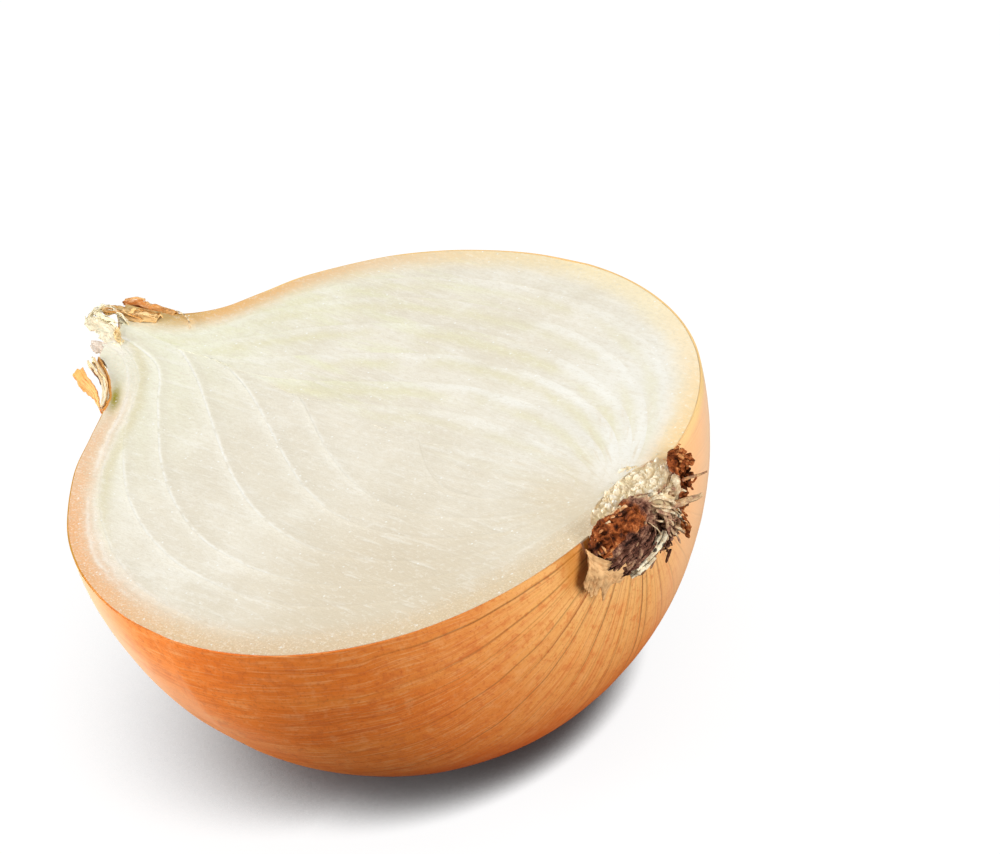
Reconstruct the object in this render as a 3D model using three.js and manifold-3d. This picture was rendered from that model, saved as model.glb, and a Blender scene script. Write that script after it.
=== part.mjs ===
// A yellow onion halved from neck to root, resting on its round back with the cut face up.
// Millimetres. +X runs to the roots, -X to the neck, +Y to the thicker side of the cut scales,
// and +Z is up, square to the cut face. The origin is on the flat spot where the half rests,
// straight under the line from neck to root.
//
// Every piece is the real one: the dry skin, seven fleshy scales one inside the other, the bud
// at the heart, the stem plate that carries them, its corky root crown, the dried roots, a torn
// tongue of skin beside them, and the dry papers of the cut neck.

import * as THREE from "three";
import { mergeVertices } from "three/addons/utils/BufferGeometryUtils.js";
import loadManifold from "manifold-3d";

const wasm = await loadManifold();
wasm.setup();

// ---------------------------------------------------------------- driving dimensions

const BULB_RADIUS = 42.8; // half the bulb's greatest width, at x = 0
const DEPTH = { belly: 1, root: 1.11, neck: 0.88 }; // the half's depth over its half-width
const DEPTH_REACH = { root: 40, neck: 45 }; // how far from the belly those are reached
const REST_SAG = 0.8; // height of the cap that is pressed flat where the half rests
const FACE_Z = BULB_RADIUS * DEPTH.belly - REST_SAG; // height of the cut face
const SKIN = 0.8; // thickness of the dry skin with its loose under-layer
const GAP = 0.3; // clearance between pieces that touch in the real bulb

// The outside of the bulb from its belly to the end of the neck, as [x, radius].
const SHOULDER = [
  [0, 42.8],
  [-8, 42],
  [-15, 40.1],
  [-22, 37],
  [-29, 32.1],
  [-36.4, 24],
  [-40, 17.6],
  [-43, 12.2],
  [-47, 8.2],
  [-51, 6.2],
  [-58, 5.6],
];
const [NECK_END, NECK_RADIUS] = SHOULDER[SHOULDER.length - 1];
const NECK_FULL = -51; // from here outward the neck's middle no longer moves
const NECK_FAR = -70; // bodies and hollows run on past every cut neck end to here
const ROOM = 100; // half-size of the blocks that trim the bodies, well clear of the onion

// One entry for each boundary between scales, from the outside in. radius: half-width at the
// belly. belly: x of the widest place. root: reach from there to the root end. taper: how soon
// the boundary draws in towards the neck. middle: how far its middle stands to the side at the
// belly, the neck end and the root end. bend: how late the middle moves across. A boundary with
// a neck radius runs out through the neck; one with a reach closes in a point that far from its
// belly. The two outermost also have their own roundness and late middle at the root end.
const OUTSIDE = { taper: 1, middle: [-0.8, 3.9, 1.5], bend: 3, roundness: 0.43, settle: 3 };
const BOUNDARIES = [
  { radius: 42.8, belly: 0, root: 38.4, neck: NECK_RADIUS, ...OUTSIDE },
  { radius: 41.7, belly: 0, root: 37.3, neck: 4.5, ...OUTSIDE },
  { radius: 36.9, belly: 2.5, root: 34.5, neck: 3.4, taper: 1.18, middle: [-2.1, 4, 1], bend: 2 },
  { radius: 31, belly: 2.5, root: 33, neck: 2.4, taper: 1.22, middle: [-1.7, 4.1, 1], bend: 2 },
  { radius: 26, belly: 3, root: 31.6, neck: 1.4, taper: 1.9, middle: [-2, 4.2, 1.5], bend: 2 },
  { radius: 20.5, belly: 5.5, root: 28.4, reach: 48.5, taper: 1.45, middle: [-1, 4.3, 1.5], bend: 2 },
  { radius: 14.8, belly: 8.5, root: 24.4, reach: 44, taper: 1.9, middle: [-0.6, 4.4, 2], bend: 2 },
  { radius: 9.6, belly: 10, root: 21.6, reach: 28.5, taper: 1.2, middle: [-0.8, 2.6, 2.3], bend: 2 },
  { radius: 4.2, belly: 15.5, root: 14, reach: 11.7, taper: 1.05, middle: [-0.6, 1.6, 2.6], bend: 2 },
];

// Facets of each boundary: steps around the whole bulb, steps to the root, steps to the neck.
const FACETS_OUTSIDE = { around: 40, toRoot: 9, toNeck: 12 };
const FACETS_INSIDE = { around: 32, toRoot: 7, toNeck: 9 };
const FACETS_HEART = { around: 24, toRoot: 6, toNeck: 7 };
const HEART_FROM = 6; // boundaries from this one inward are small
const TIP_STRETCH = 4; // a grown boundary's sharp tip moves out this many times as far
const ROUNDNESS = 0.5; // makes the root end of an inner boundary an ellipse; less is blunter
const SETTLE = 2; // how late an inner boundary's middle moves across towards the root end

// The stem plate is a lens; the root crown is a corky pad that covers the bulb's root end.
const PLATE = { x: 35.2, y: 3.6, radius: 9.8, halfThick: 3.1 };
const CROWN = { x: 38.7, y: 3.9, radius: 10.4, inner: 1.4, outer: 2.9, tiltDeg: 5 };

// Cut ends of the neck, each a slanting plane through x on the axis: the neck is longer at +Y.
const SKIN_END = { x: -46.9, slantDeg: 17 };
const SCALE_ENDS = [-52.9, -53.4, -52.6, -51.8].map((x) => ({ x, slantDeg: 25 }));

// ---------------------------------------------------------------- solids

/** A manifold solid from a closed three.js geometry. */
function toSolid(geometry) {
  const bare = geometry.clone();
  bare.deleteAttribute("normal");
  bare.deleteAttribute("uv");
  const merged = mergeVertices(bare, 1e-5);
  const triangles = [];
  const index = merged.index.array;
  for (let i = 0; i < index.length; i += 3) {
    const [a, b, c] = [index[i], index[i + 1], index[i + 2]];
    if (a !== b && b !== c && c !== a) triangles.push(a, b, c);
  }
  const mesh = new wasm.Mesh({
    numProp: 3,
    vertProperties: new Float32Array(merged.attributes.position.array),
    triVerts: new Uint32Array(triangles),
  });
  return new wasm.Manifold(mesh);
}

/** A three.js geometry from a manifold solid. */
function toGeometry(solid) {
  const mesh = solid.getMesh();
  const geometry = new THREE.BufferGeometry();
  geometry.setAttribute("position", new THREE.BufferAttribute(new Float32Array(mesh.vertProperties), 3));
  geometry.setIndex(new THREE.BufferAttribute(new Uint32Array(mesh.triVerts), 1));
  geometry.computeVertexNormals();
  return geometry;
}

/** A plain block between two corners, as a solid. */
function block(low, high) {
  const size = high.map((value, i) => value - low[i]);
  const box = new THREE.BoxGeometry(...size);
  box.translate(...low.map((value, i) => value + size[i] / 2));
  return toSolid(box);
}

/** Moves each vertex of a geometry to place(vertex). */
function warp(geometry, place) {
  const position = geometry.attributes.position;
  const vertex = new THREE.Vector3();
  for (let i = 0; i < position.count; i += 1) {
    const moved = place(vertex.fromBufferAttribute(position, i));
    position.setXYZ(i, moved.x, moved.y, moved.z);
  }
  return geometry;
}

// ---------------------------------------------------------------- the bulb's boundaries

const shoulderCurve = new THREE.SplineCurve(SHOULDER.map(([x, r]) => new THREE.Vector2(x, r)));
const shoulderSamples = shoulderCurve.getPoints(160);

/** The bulb's outside radius at x on the neck side, from the shoulder curve. */
function shoulderRadius(x) {
  const next = shoulderSamples.findIndex((point) => point.x <= x);
  if (next < 0) return NECK_RADIUS;
  if (next === 0) return BULB_RADIUS;
  const [before, after] = [shoulderSamples[next - 1], shoulderSamples[next]];
  const share = (x - before.x) / (after.x - before.x);
  return THREE.MathUtils.lerp(before.y, after.y, share);
}

/** A boundary's radius at x, anywhere between its neck end and its root end. */
function radiusAt(boundary, x) {
  const along = x - boundary.belly;
  if (along >= 0) {
    const left = Math.max(0, 1 - (along / boundary.root) ** 2);
    return boundary.radius * left ** (boundary.roundness ?? ROUNDNESS);
  }
  if (boundary.reach) {
    const share = Math.min(1, -along / boundary.reach);
    return boundary.radius * Math.max(0, Math.cos((share * Math.PI) / 2)) ** boundary.taper;
  }
  const fullness = (shoulderRadius(x) - NECK_RADIUS) / (BULB_RADIUS - NECK_RADIUS);
  const spread = boundary.radius - boundary.neck;
  return boundary.neck + spread * Math.max(0, fullness) ** boundary.taper;
}

/** How far a boundary's middle stands to the side of the bulb's axis at x. */
function middleAt(boundary, x) {
  const [belly, tip, base] = boundary.middle;
  const along = x - boundary.belly;
  if (along >= 0) {
    const share = Math.min(1, along / boundary.root) ** (boundary.settle ?? SETTLE);
    return THREE.MathUtils.lerp(belly, base, share);
  }
  const reach = boundary.reach ?? boundary.belly - NECK_FULL;
  const share = boundary.reach ? -along / reach : Math.min(1, -along / reach);
  return THREE.MathUtils.lerp(belly, tip, share ** boundary.bend);
}

/** How deep the bulb is at x, over its half-width there. */
function depthAt(x) {
  const end = x > 0 ? "root" : "neck";
  const share = Math.min(1, Math.abs(x) / DEPTH_REACH[end]);
  return THREE.MathUtils.lerp(DEPTH.belly, DEPTH[end], share ** 2);
}

/** The solid of revolution inside a boundary, moved outward by grow and bent to its middle. */
function bodyInside(number, grow) {
  const boundary = BOUNDARIES[number];
  const facets = number < 2 ? FACETS_OUTSIDE : number < HEART_FROM ? FACETS_INSIDE : FACETS_HEART;
  const neckEnd = boundary.reach ? boundary.belly - boundary.reach : NECK_FAR;
  const profile = [new THREE.Vector2(0, neckEnd - grow * TIP_STRETCH)];
  const firstX = boundary.reach ? neckEnd : NECK_END;
  if (!boundary.reach) profile.push(new THREE.Vector2(boundary.neck + grow, neckEnd));
  for (let i = boundary.reach ? 1 : 0; i < facets.toNeck; i += 1) {
    const share = i / facets.toNeck;
    const x = THREE.MathUtils.lerp(firstX, boundary.belly, boundary.reach ? share : share ** 0.8);
    profile.push(new THREE.Vector2(radiusAt(boundary, x) + grow, x));
  }
  const roundness = boundary.roundness ?? ROUNDNESS;
  for (let i = 0; i < facets.toRoot; i += 1) {
    const turn = ((i / facets.toRoot) * Math.PI) / 2;
    const x = boundary.belly + (boundary.root + grow) * Math.sin(turn);
    const radius = (boundary.radius + grow) * Math.cos(turn) ** (2 * roundness);
    profile.push(new THREE.Vector2(radius, x));
  }
  profile.push(new THREE.Vector2(0, boundary.belly + boundary.root + grow));
  const lathe = new THREE.LatheGeometry(profile, facets.around, Math.PI / 2);
  const solid = toSolid(
    warp(lathe, (v) => {
      const side = Math.abs(v.z) < 1e-6 ? 0 : v.z;
      return new THREE.Vector3(v.y, middleAt(boundary, v.y) - v.x, FACE_Z + depthAt(v.y) * side);
    }),
  );
  const floor = number === 0 ? 0 : SKIN + GAP - grow; // the back is pressed flat where it rests
  return solid.intersect(block([-ROOM, -ROOM, floor], [ROOM, ROOM, ROOM]));
}

/** Everything past a slanting end of the neck, as a solid. */
function beyondNeck({ x, slantDeg }) {
  const box = new THREE.BoxGeometry(ROOM, 2 * ROOM, 2 * ROOM);
  box.translate(-ROOM / 2, 0, 0);
  box.rotateZ(THREE.MathUtils.degToRad(slantDeg));
  box.translate(x, 0, 0);
  return toSolid(box);
}

/** A pad turned about X with the given half-profile of [radius, x], tilted and put in place. */
function pad(profile, place, tiltDeg) {
  const lathe = new THREE.LatheGeometry(profile.map(([r, x]) => new THREE.Vector2(r, x)), 24);
  const turn = new THREE.Matrix4().makeRotationZ(THREE.MathUtils.degToRad(tiltDeg - 90));
  lathe.applyMatrix4(turn);
  lathe.translate(place.x, place.y, FACE_Z);
  return toSolid(lathe);
}

/** The stem plate's lens, moved outward by grow. */
function plateLens(grow) {
  const steps = 6;
  const profile = [];
  for (let i = 0; i <= steps; i += 1) {
    const turn = ((i / steps) * 2 - 1) * (Math.PI / 2);
    const radius = i % steps === 0 ? 0 : (PLATE.radius + grow) * Math.cos(turn) ** 0.6;
    profile.push([radius, (PLATE.halfThick + grow) * Math.sin(turn)]);
  }
  return pad(profile, PLATE, CROWN.tiltDeg);
}

/** The root crown's lumpy pad, moved outward by grow. */
function crownPad(grow) {
  const { radius, inner, outer } = CROWN;
  const profile = [
    [0, -inner - grow],
    [radius * 0.8 + grow, -inner - grow],
    [radius + grow, -grow],
    [radius * 0.97 + grow, outer * 0.35 + grow],
    [radius * 0.8 + grow, outer * 0.8 + grow],
    [radius * 0.45, outer + grow],
    [0, outer * 0.85 + grow],
  ];
  return pad(profile, CROWN, CROWN.tiltDeg);
}

// ---------------------------------------------------------------- pieces

const onion = new THREE.Group();

/** Adds a named piece of the given geometry, colour and roughness to the onion. */
function addPiece(name, geometry, color, roughness) {
  const material = new THREE.MeshStandardMaterial({ color, roughness, metalness: 0 });
  const mesh = new THREE.Mesh(geometry, material);
  mesh.name = name;
  onion.add(mesh);
}

const belowFace = block([-ROOM, -ROOM, -ROOM], [ROOM, ROOM, FACE_Z]);
const aroundPlate = plateLens(GAP);
const aroundCrown = crownPad(GAP);

// The dry skin: one thin bowl, open at the neck end and around the root crown.
const skin = bodyInside(0, 0)
  .intersect(belowFace)
  .subtract(bodyInside(1, GAP))
  .subtract(beyondNeck(SKIN_END))
  .subtract(aroundCrown)
  .subtract(aroundPlate);
addPiece("dry_skin", toGeometry(skin), 0xd9905a, 0.45);

// The fleshy scales, each a thick bowl around the next, all growing from the stem plate.
const SCALE_COLORS = [0xf2dcb4, 0xeeebd3, 0xecead6, 0xeae8d4, 0xe9e6d0, 0xe8e5cc, 0xe6e3c8];
SCALE_COLORS.forEach((color, i) => {
  const number = i + 1;
  let scale = bodyInside(number, 0).intersect(belowFace).subtract(bodyInside(number + 1, GAP));
  if (i < SCALE_ENDS.length) {
    scale = scale.subtract(beyondNeck(SCALE_ENDS[i]));
  }
  scale = scale.subtract(aroundPlate).subtract(aroundCrown);
  addPiece(`fleshy_scale_${number}`, toGeometry(scale), color, 0.35);
});

// The bud at the heart, the stem plate and the root crown.
const bud = bodyInside(8, 0).intersect(belowFace).subtract(aroundPlate);
addPiece("centre_bud", toGeometry(bud), 0xe7e6c4, 0.35);
const plate = plateLens(0).intersect(belowFace).subtract(aroundCrown);
addPiece("stem_plate", toGeometry(plate), 0xe6dcae, 0.6);
addPiece("root_crown", toGeometry(crownPad(0).intersect(belowFace)), 0x6b4630, 0.9);

// ---------------------------------------------------------------- dried roots

// Each root is a thin dry cord through three or four points, as [x, y, depth under the face].
// Two stubs and a hook stand off the crown; the others lie along it and over its edge.
const ROOTS = [
  { radius: 0.32, path: [[41.5, 10.3, 0.9], [42.5, 11.3, 0.9], [43.4, 12.1, 0.7]] },
  { radius: 0.44, path: [[42.1, 6.9, 2], [43.3, 8.3, 2.2], [44.5, 9.7, 2.1]] },
  { radius: 0.36, path: [[42, 7, 0.8], [42.5, 8.1, 0.7], [42.3, 9, 1.6]] },
  { radius: 0.4, path: [[42.3, 4, 1], [42.3, 5.4, 2.1], [42.1, 6.6, 3.6], [41.6, 8.2, 5.9]] },
  { radius: 0.36, path: [[42.3, 4.2, 4.4], [42.3, 2.8, 5.4], [42.3, 0.4, 5.7], [42.3, -2.1, 5.2]] },
  { radius: 0.34, path: [[42.1, 1.2, 6.8], [42, -0.8, 6.9], [41.7, -2.8, 6.6]] },
  { radius: 0.3, path: [[42.6, -1.6, 1.9], [42.4, -3.6, 2.7], [41.9, -5.6, 3.6]] },
  { radius: 0.3, path: [[42.6, -2.4, 0.7], [42.3, -4.4, 1.1], [41.9, -6.2, 2]] },
  { radius: 0.34, path: [[41.2, 9, 6.9], [40.9, 9.4, 8.3], [40.4, 9.3, 9.6]] },
];
const ROOT_SIDES = 6;
const ROOT_STEPS = 5;

ROOTS.forEach(({ radius, path }, i) => {
  const section = new THREE.EllipseCurve(0, 0, radius, radius).getPoints(ROOT_SIDES).slice(0, ROOT_SIDES);
  const points = path.map(([x, y, depth]) => new THREE.Vector3(x, y, FACE_Z - depth));
  const extrudePath = new THREE.CatmullRomCurve3(points);
  const settings = { steps: ROOT_STEPS, bevelEnabled: false, extrudePath };
  const root = new THREE.ExtrudeGeometry(new THREE.Shape(section), settings);
  addPiece(`root_${i + 1}`, toGeometry(toSolid(root)), 0xb59a78, 0.9);
});

// ---------------------------------------------------------------- dry papers

const PAPER = 0.5; // thickness of a curled paper

/**
 * A curled sheet. Its spine runs through points given as [x, y, rise above the cut face], its
 * width leaves the spine along across, and curl is the angle the width turns through, in radians.
 */
function paper({ spine, across, widths, curl }) {
  const points = spine.map(([x, y, rise]) => new THREE.Vector3(x, y, FACE_Z + rise));
  const path = new THREE.CatmullRomCurve3(points);
  const surface = (t, w) => {
    const side = new THREE.Vector3(...across).normalize();
    const normal = path.getTangent(t).cross(side).normalize();
    const width = THREE.MathUtils.lerp(widths[0], widths[1], t);
    const radius = width / curl;
    return path
      .getPoint(t)
      .addScaledVector(side, radius * Math.sin(w * curl))
      .addScaledVector(normal, radius * (1 - Math.cos(w * curl)));
  };
  const sheet = new THREE.BoxGeometry(1, 1, 1, 5, 3, 1);
  return warp(sheet, (v) => {
    const [t, w] = [v.x + 0.5, v.y + 0.5];
    const step = 0.01;
    const alongT = surface(Math.min(1, t + step), w).sub(surface(Math.max(0, t - step), w));
    const alongW = surface(t, w + step).sub(surface(t, w - step));
    return surface(t, w).addScaledVector(alongT.cross(alongW).normalize(), v.z * PAPER);
  });
}

const PAPERS = [
  {
    name: "neck_paper_far_outer",
    color: 0xbe5f28,
    spine: [[-48.9, 11.3, -1.9], [-51.4, 11.2, -1.7], [-54, 10.9, -1.4], [-57.1, 9.9, -1]],
    across: [0, -0.3, 1],
    widths: [1.8, 1.1],
    curl: 0.9,
  },
  {
    name: "neck_paper_far_inner",
    color: 0xd8a050,
    spine: [[-50.5, 8, 0.6], [-53.5, 7.9, 0.6], [-56.5, 7.7, 0.6], [-59.6, 7, 0.4]],
    across: [0, -1, 0.2],
    widths: [1.5, 1],
    curl: 1.1,
  },
  {
    name: "neck_paper_end",
    color: 0xf0e2b4,
    spine: [[-54.9, 1.9, -0.5], [-56.7, 2.4, -0.2], [-58.4, 3, 0.2], [-60.2, 3.6, 0.6]],
    across: [-0.42, 1, 0.15],
    widths: [4.2, 2.8],
    curl: 0.8,
  },
  {
    name: "neck_paper_small",
    color: 0xe6d8b8,
    spine: [[-53.9, -1.4, -0.6], [-54.8, -1.3, -0.3], [-55.8, -1.1, 0], [-56.8, -0.8, 0.1]],
    across: [-0.3, 1, -0.2],
    widths: [2, 1.5],
    curl: 0.6,
  },
  {
    name: "neck_curl_near_inner",
    color: 0xd8a050,
    spine: [[-45.1, -7.9, -0.2], [-46.4, -6.4, 0], [-48.7, -4.7, 0.2], [-52.9, -3, 0.3]],
    across: [0, 0.2, -1],
    widths: [3.6, 3],
    curl: 0.7,
  },
  {
    name: "neck_curl_near_middle",
    color: 0xf0dcae,
    spine: [[-44.7, -9.4, -0.3], [-46.6, -7.7, 0], [-49, -6.2, 0.2], [-53.1, -4.6, 0.3]],
    across: [0, 0.15, -1],
    widths: [3.4, 2.6],
    curl: 0.7,
  },
  {
    name: "neck_curl_near_outer",
    color: 0xd97a2e,
    spine: [[-44.1, -10.9, -0.7], [-46.5, -9.2, -0.4], [-49.4, -7.6, -0.2], [-53.1, -6.1, 0]],
    across: [0, 0.35, -1],
    widths: [1, 1.6],
    curl: 0.5,
  },
  {
    name: "root_flap",
    color: 0xdcb48c,
    spine: [[40.6, -8.1, -1], [40.8, -8.5, -2.4], [40.8, -8.7, -3.8], [40.5, -8.6, -5.2]],
    across: [0.1, 1, -0.45],
    widths: [1.3, 3.2],
    curl: 0.5,
  },
];
PAPERS.forEach((sheet) => {
  addPiece(sheet.name, toGeometry(toSolid(paper(sheet))), sheet.color, 0.6);
});

export default onion;
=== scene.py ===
# A yellow onion halved from neck to root, lying on its round back with the cut face up.
# Shapes are worked out in millimetres, in the same frame as the solids: +X runs to the roots,
# -X to the neck, +Y to the far side of the cut face, and +Z is up. Meshes are made in metres.

import math
from dataclasses import dataclass

import bpy
import numpy as np
from mathutils import Matrix, Vector, noise


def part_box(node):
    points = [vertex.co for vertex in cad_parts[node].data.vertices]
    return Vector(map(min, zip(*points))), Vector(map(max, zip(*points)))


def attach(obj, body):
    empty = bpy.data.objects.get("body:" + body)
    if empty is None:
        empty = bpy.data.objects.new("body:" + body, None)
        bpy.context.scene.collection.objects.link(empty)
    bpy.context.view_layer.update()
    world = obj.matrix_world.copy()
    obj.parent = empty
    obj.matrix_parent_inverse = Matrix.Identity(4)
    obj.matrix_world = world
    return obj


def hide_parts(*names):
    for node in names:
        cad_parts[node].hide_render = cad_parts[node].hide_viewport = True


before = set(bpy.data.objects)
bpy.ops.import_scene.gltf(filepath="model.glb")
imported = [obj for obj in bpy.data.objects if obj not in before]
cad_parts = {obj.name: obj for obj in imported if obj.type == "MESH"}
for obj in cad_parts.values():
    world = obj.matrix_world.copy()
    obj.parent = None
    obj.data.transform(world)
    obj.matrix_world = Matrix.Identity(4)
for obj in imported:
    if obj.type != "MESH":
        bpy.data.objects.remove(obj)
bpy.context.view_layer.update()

# ---------------------------------------------------------------- dry skin
# The outermost layer of the bulb, dried to a thin golden paper. It wraps the whole round back,
# from the slanting neck cut to a ragged hole round the root crown, and clings to the flesh. The
# knife that halved the bulb left its edge bare all round the cut face.

MM = 0.001
skin_low, skin_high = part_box("dry_skin")
BULB_RADIUS = (skin_high.y - skin_low.y) / 2 / MM
FACE = skin_high.z / MM
DEPTH_ROOT = 1.11
DEPTH_NECK = 0.88
SHOULDER = [
    (0, BULB_RADIUS), (-8, 42), (-15, 40.1), (-22, 37), (-29, 32.1), (-36.4, 24), (-40, 17.6),
    (-43, 12.2), (-47, 8.2), (-51, 6.2), (-58, 5.6),
]
NECK_RADIUS = SHOULDER[-1][1]
NECK_FULL = -51
SKIN_THICKNESS = 0.26
SKIN_ROWS = 240
SKIN_COLUMNS = 164
SKIN_SAMPLES = 600
SEARCH_ROUNDS = 40
SHOULDER_SAMPLES = 400
SKIN_END = -46.9
SKIN_SLANT = math.tan(math.radians(17))
CROWN_X = 38.7
CROWN_Y = 3.9
CROWN_RADIUS = 10.4
SKIN_HOLE = 10.3
CREASE = math.radians(50)


def smooth_path(points, count):
    """Points along the smooth curve through the given ones."""
    points = np.asarray(points, float)
    ends = np.vstack([points[:1], points, points[-1:]])
    t = np.linspace(0, len(points) - 1, count)
    i = np.minimum(t.astype(int), len(points) - 2)
    u = (t - i)[:, None]
    a, b, c, d = ends[i], ends[i + 1], ends[i + 2], ends[i + 3]
    cubic = (3 * b - a - 3 * c + d) * u**3
    return 0.5 * (2 * b + (c - a) * u + (2 * a - 5 * b + 4 * c - d) * u**2 + cubic)


shoulder_line = smooth_path(SHOULDER, SHOULDER_SAMPLES)[::-1]


def depth_at(x):
    """How deep the half is at x, over its half-width there."""
    to_root = np.clip(x / 40, 0, 1) ** 2
    to_neck = np.clip(-x / 45, 0, 1) ** 2
    return 1 + (DEPTH_ROOT - 1) * to_root + (DEPTH_NECK - 1) * to_neck


@dataclass
class Boundary:
    """The surface between two layers: a body of revolution about a bent middle line.

    belly is the x of its widest place, and root the length from there to its root end. middle
    holds the y of the middle line at the belly, the neck end and the root end. taper says how
    fast it narrows to the neck, and bend how late the middle line turns aside. A boundary with
    a reach closes in a point that far from the belly, and the others end as wide as neck.
    """

    radius: float
    belly: float
    root: float
    taper: float
    middle: tuple
    bend: float
    neck: float = 0.0
    reach: float = 0.0
    roundness: float = 0.5
    settle: float = 2.0

    def radius_at(self, x):
        along = x - self.belly
        to_root = self.radius * np.clip(1 - (along / self.root) ** 2, 0, None) ** self.roundness
        if self.reach:
            share = np.clip(-along / self.reach, 0, 1)
            to_neck = self.radius * np.clip(np.cos(share * math.pi / 2), 0, 1) ** self.taper
        else:
            shoulder = np.interp(x, shoulder_line[:, 0], shoulder_line[:, 1])
            fullness = np.clip((shoulder - NECK_RADIUS) / (BULB_RADIUS - NECK_RADIUS), 0, 1)
            to_neck = self.neck + (self.radius - self.neck) * fullness**self.taper
        return np.where(along >= 0, to_root, to_neck)

    def middle_at(self, x):
        belly, tip, base = self.middle
        along = x - self.belly
        reach = self.reach or self.belly - NECK_FULL
        rootward = np.clip(along / self.root, 0, 1) ** self.settle
        neckward = np.clip(-along / reach, 0, 1) ** self.bend
        return belly + (base - belly) * rootward + (tip - belly) * neckward

    def place(self, x, turn, lowest=0.0):
        """The point at x, turned from 0 at the near edge of the face, under the bulb, to pi."""
        radius = self.radius_at(x)
        y = self.middle_at(x) - radius * np.cos(turn)
        z = FACE - depth_at(x) * radius * np.sin(turn)
        return np.stack([x + 0 * y, y, np.maximum(z, lowest)], -1)


def lumps(points, size, layers=1, shift=0.0):
    """Smooth random heights, about -1 to 1, with lumps of the given size in millimetres."""
    flat = np.asarray(points, float).reshape(-1, 3) / size + shift
    total = np.zeros(len(flat))
    for layer in range(layers):
        step = 2**layer
        total += [noise.noise(Vector(p)) / step for p in flat * step]
    return total.reshape(np.shape(points)[:-1])


def step_up(value, low, high):
    """0 below low, 1 above high, and smooth between."""
    share = np.clip((value - low) / (high - low), 0, 1)
    return share * share * (3 - 2 * share)


def unit(vectors):
    """The same directions, each with a length of 1."""
    return vectors / np.maximum(np.linalg.norm(vectors, axis=-1, keepdims=True), 1e-9)


def grid_normals(grid):
    """The direction square to a grid of points, at each of them."""
    return unit(np.cross(np.gradient(grid, axis=0), np.gradient(grid, axis=1)))


def length_along(line):
    """The length along a line, or along each column of a grid, at each of its points."""
    steps = np.linalg.norm(np.diff(line, axis=0), axis=-1)
    return np.concatenate([0 * steps[:1], np.cumsum(steps, axis=0)])


def grid_faces(rows, columns, first=0, closed=False, flip=False):
    """Quads of a grid whose points run row by row, from the given first index."""
    i, j = np.meshgrid(np.arange(rows - 1), np.arange(columns - (not closed)), indexing="ij")
    right = (j + 1) % columns
    corners = [i * columns + j, i * columns + right, (i + 1) * columns + right, (i + 1) * columns + j]
    faces = np.stack(corners, -1).reshape(-1, 4) + first
    return (faces[:, ::-1] if flip else faces).tolist()


def mesh_piece(name, points, faces, material, layers=None):
    """An object from points in millimetres. Each layer is a value or a vector for every point."""
    points = np.asarray(points, float).reshape(-1, 3)
    keys = np.round(points * 2000).astype(np.int64)
    _, keep, where = np.unique(keys, axis=0, return_index=True, return_inverse=True)
    order = np.sort(keep)
    where = np.searchsorted(order, keep[where.reshape(-1)])
    merged = []
    for face in faces:
        corners = list(dict.fromkeys(where[list(face)].tolist()))
        if len(corners) > 2:
            merged.append(corners)
    mesh = bpy.data.meshes.new(name)
    mesh.from_pydata((points[order] * MM).tolist(), [], merged)
    for layer, values in (layers or {}).items():
        values = np.asarray(values, np.float32)
        vector = values.ndim > 1 and values.shape[-1] == 3
        values = values.reshape(-1, 3)[order] if vector else values.reshape(-1)[order]
        made = mesh.attributes.new(layer, "FLOAT_VECTOR" if vector else "FLOAT", "POINT")
        made.data.foreach_set("vector" if vector else "value", values.ravel())
    mesh.validate()
    mesh.polygons.foreach_set("use_smooth", [True] * len(mesh.polygons))
    mesh.set_sharp_from_angle(angle=CREASE)
    mesh.materials.append(material)
    piece = bpy.data.objects.new(name, mesh)
    bpy.context.collection.objects.link(piece)
    return piece


def joined_piece(name, parts, material):
    """One object from many parts, each its points, its faces and its layers."""
    faces = []
    first = 0
    for points, corners, _ in parts:
        faces += [[i + first for i in face] for face in corners]
        first += len(points)
    points = np.concatenate([part[0] for part in parts])
    layers = {key: np.concatenate([part[2][key] for part in parts]) for key in parts[0][2]}
    return mesh_piece(name, points, faces, material, layers)


def thick_sheet(outer, inner, round_grid=False):
    """Points and faces of the solid between two grids of points. A round grid starts in one
    point, and its columns run all the way round."""
    rows, columns = outer.shape[:2]
    count = rows * columns
    points = np.concatenate([outer.reshape(-1, 3), inner.reshape(-1, 3)])
    faces = grid_faces(rows, columns, 0, round_grid)
    faces += grid_faces(rows, columns, count, round_grid, flip=True)
    top = np.arange(columns)
    side = np.arange(rows) * columns
    borders = [top[::-1], top + side[-1], side, (side + columns - 1)[::-1]]
    if round_grid:
        borders = [np.append(top, 0) + side[-1]]
    for border in borders:
        for a, b in zip(border[:-1].tolist(), border[1:].tolist()):
            faces.append([a, b, b + count, a + count])
    return points, faces


def tint(red, green, blue):
    """A colour from its everyday 0 to 255 values."""
    levels = [c / 255 for c in (red, green, blue)]
    linear = [c / 12.92 if c <= 0.04045 else ((c + 0.055) / 1.055) ** 2.4 for c in levels]
    return (*linear, 1.0)


class Value:
    """A result worked out by nodes. Sums and products of it add more nodes."""

    def __init__(self, nodes, socket):
        self.nodes = nodes
        self.socket = socket

    def __add__(self, other):
        return self.nodes.math("ADD", self, other)

    def __sub__(self, other):
        return self.nodes.math("SUBTRACT", self, other)

    def __rsub__(self, other):
        return self.nodes.math("SUBTRACT", other, self)

    def __mul__(self, other):
        return self.nodes.math("MULTIPLY", self, other)

    def __truediv__(self, other):
        return self.nodes.math("DIVIDE", self, other)

    def rise(self, low, high, start=0, end=1):
        """start below low, end above high, and smooth between."""
        inputs = {"Value": self, "From Min": low, "From Max": high, "To Min": start, "To Max": end}
        return self.nodes.get("MapRange", inputs, interpolation_type="SMOOTHSTEP")

    def bell(self, centre, width):
        """1 at the centre, dying away on both sides of it."""
        offset = (self - centre) / width
        return self.nodes.math("EXPONENT", offset * offset * -1)


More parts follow.
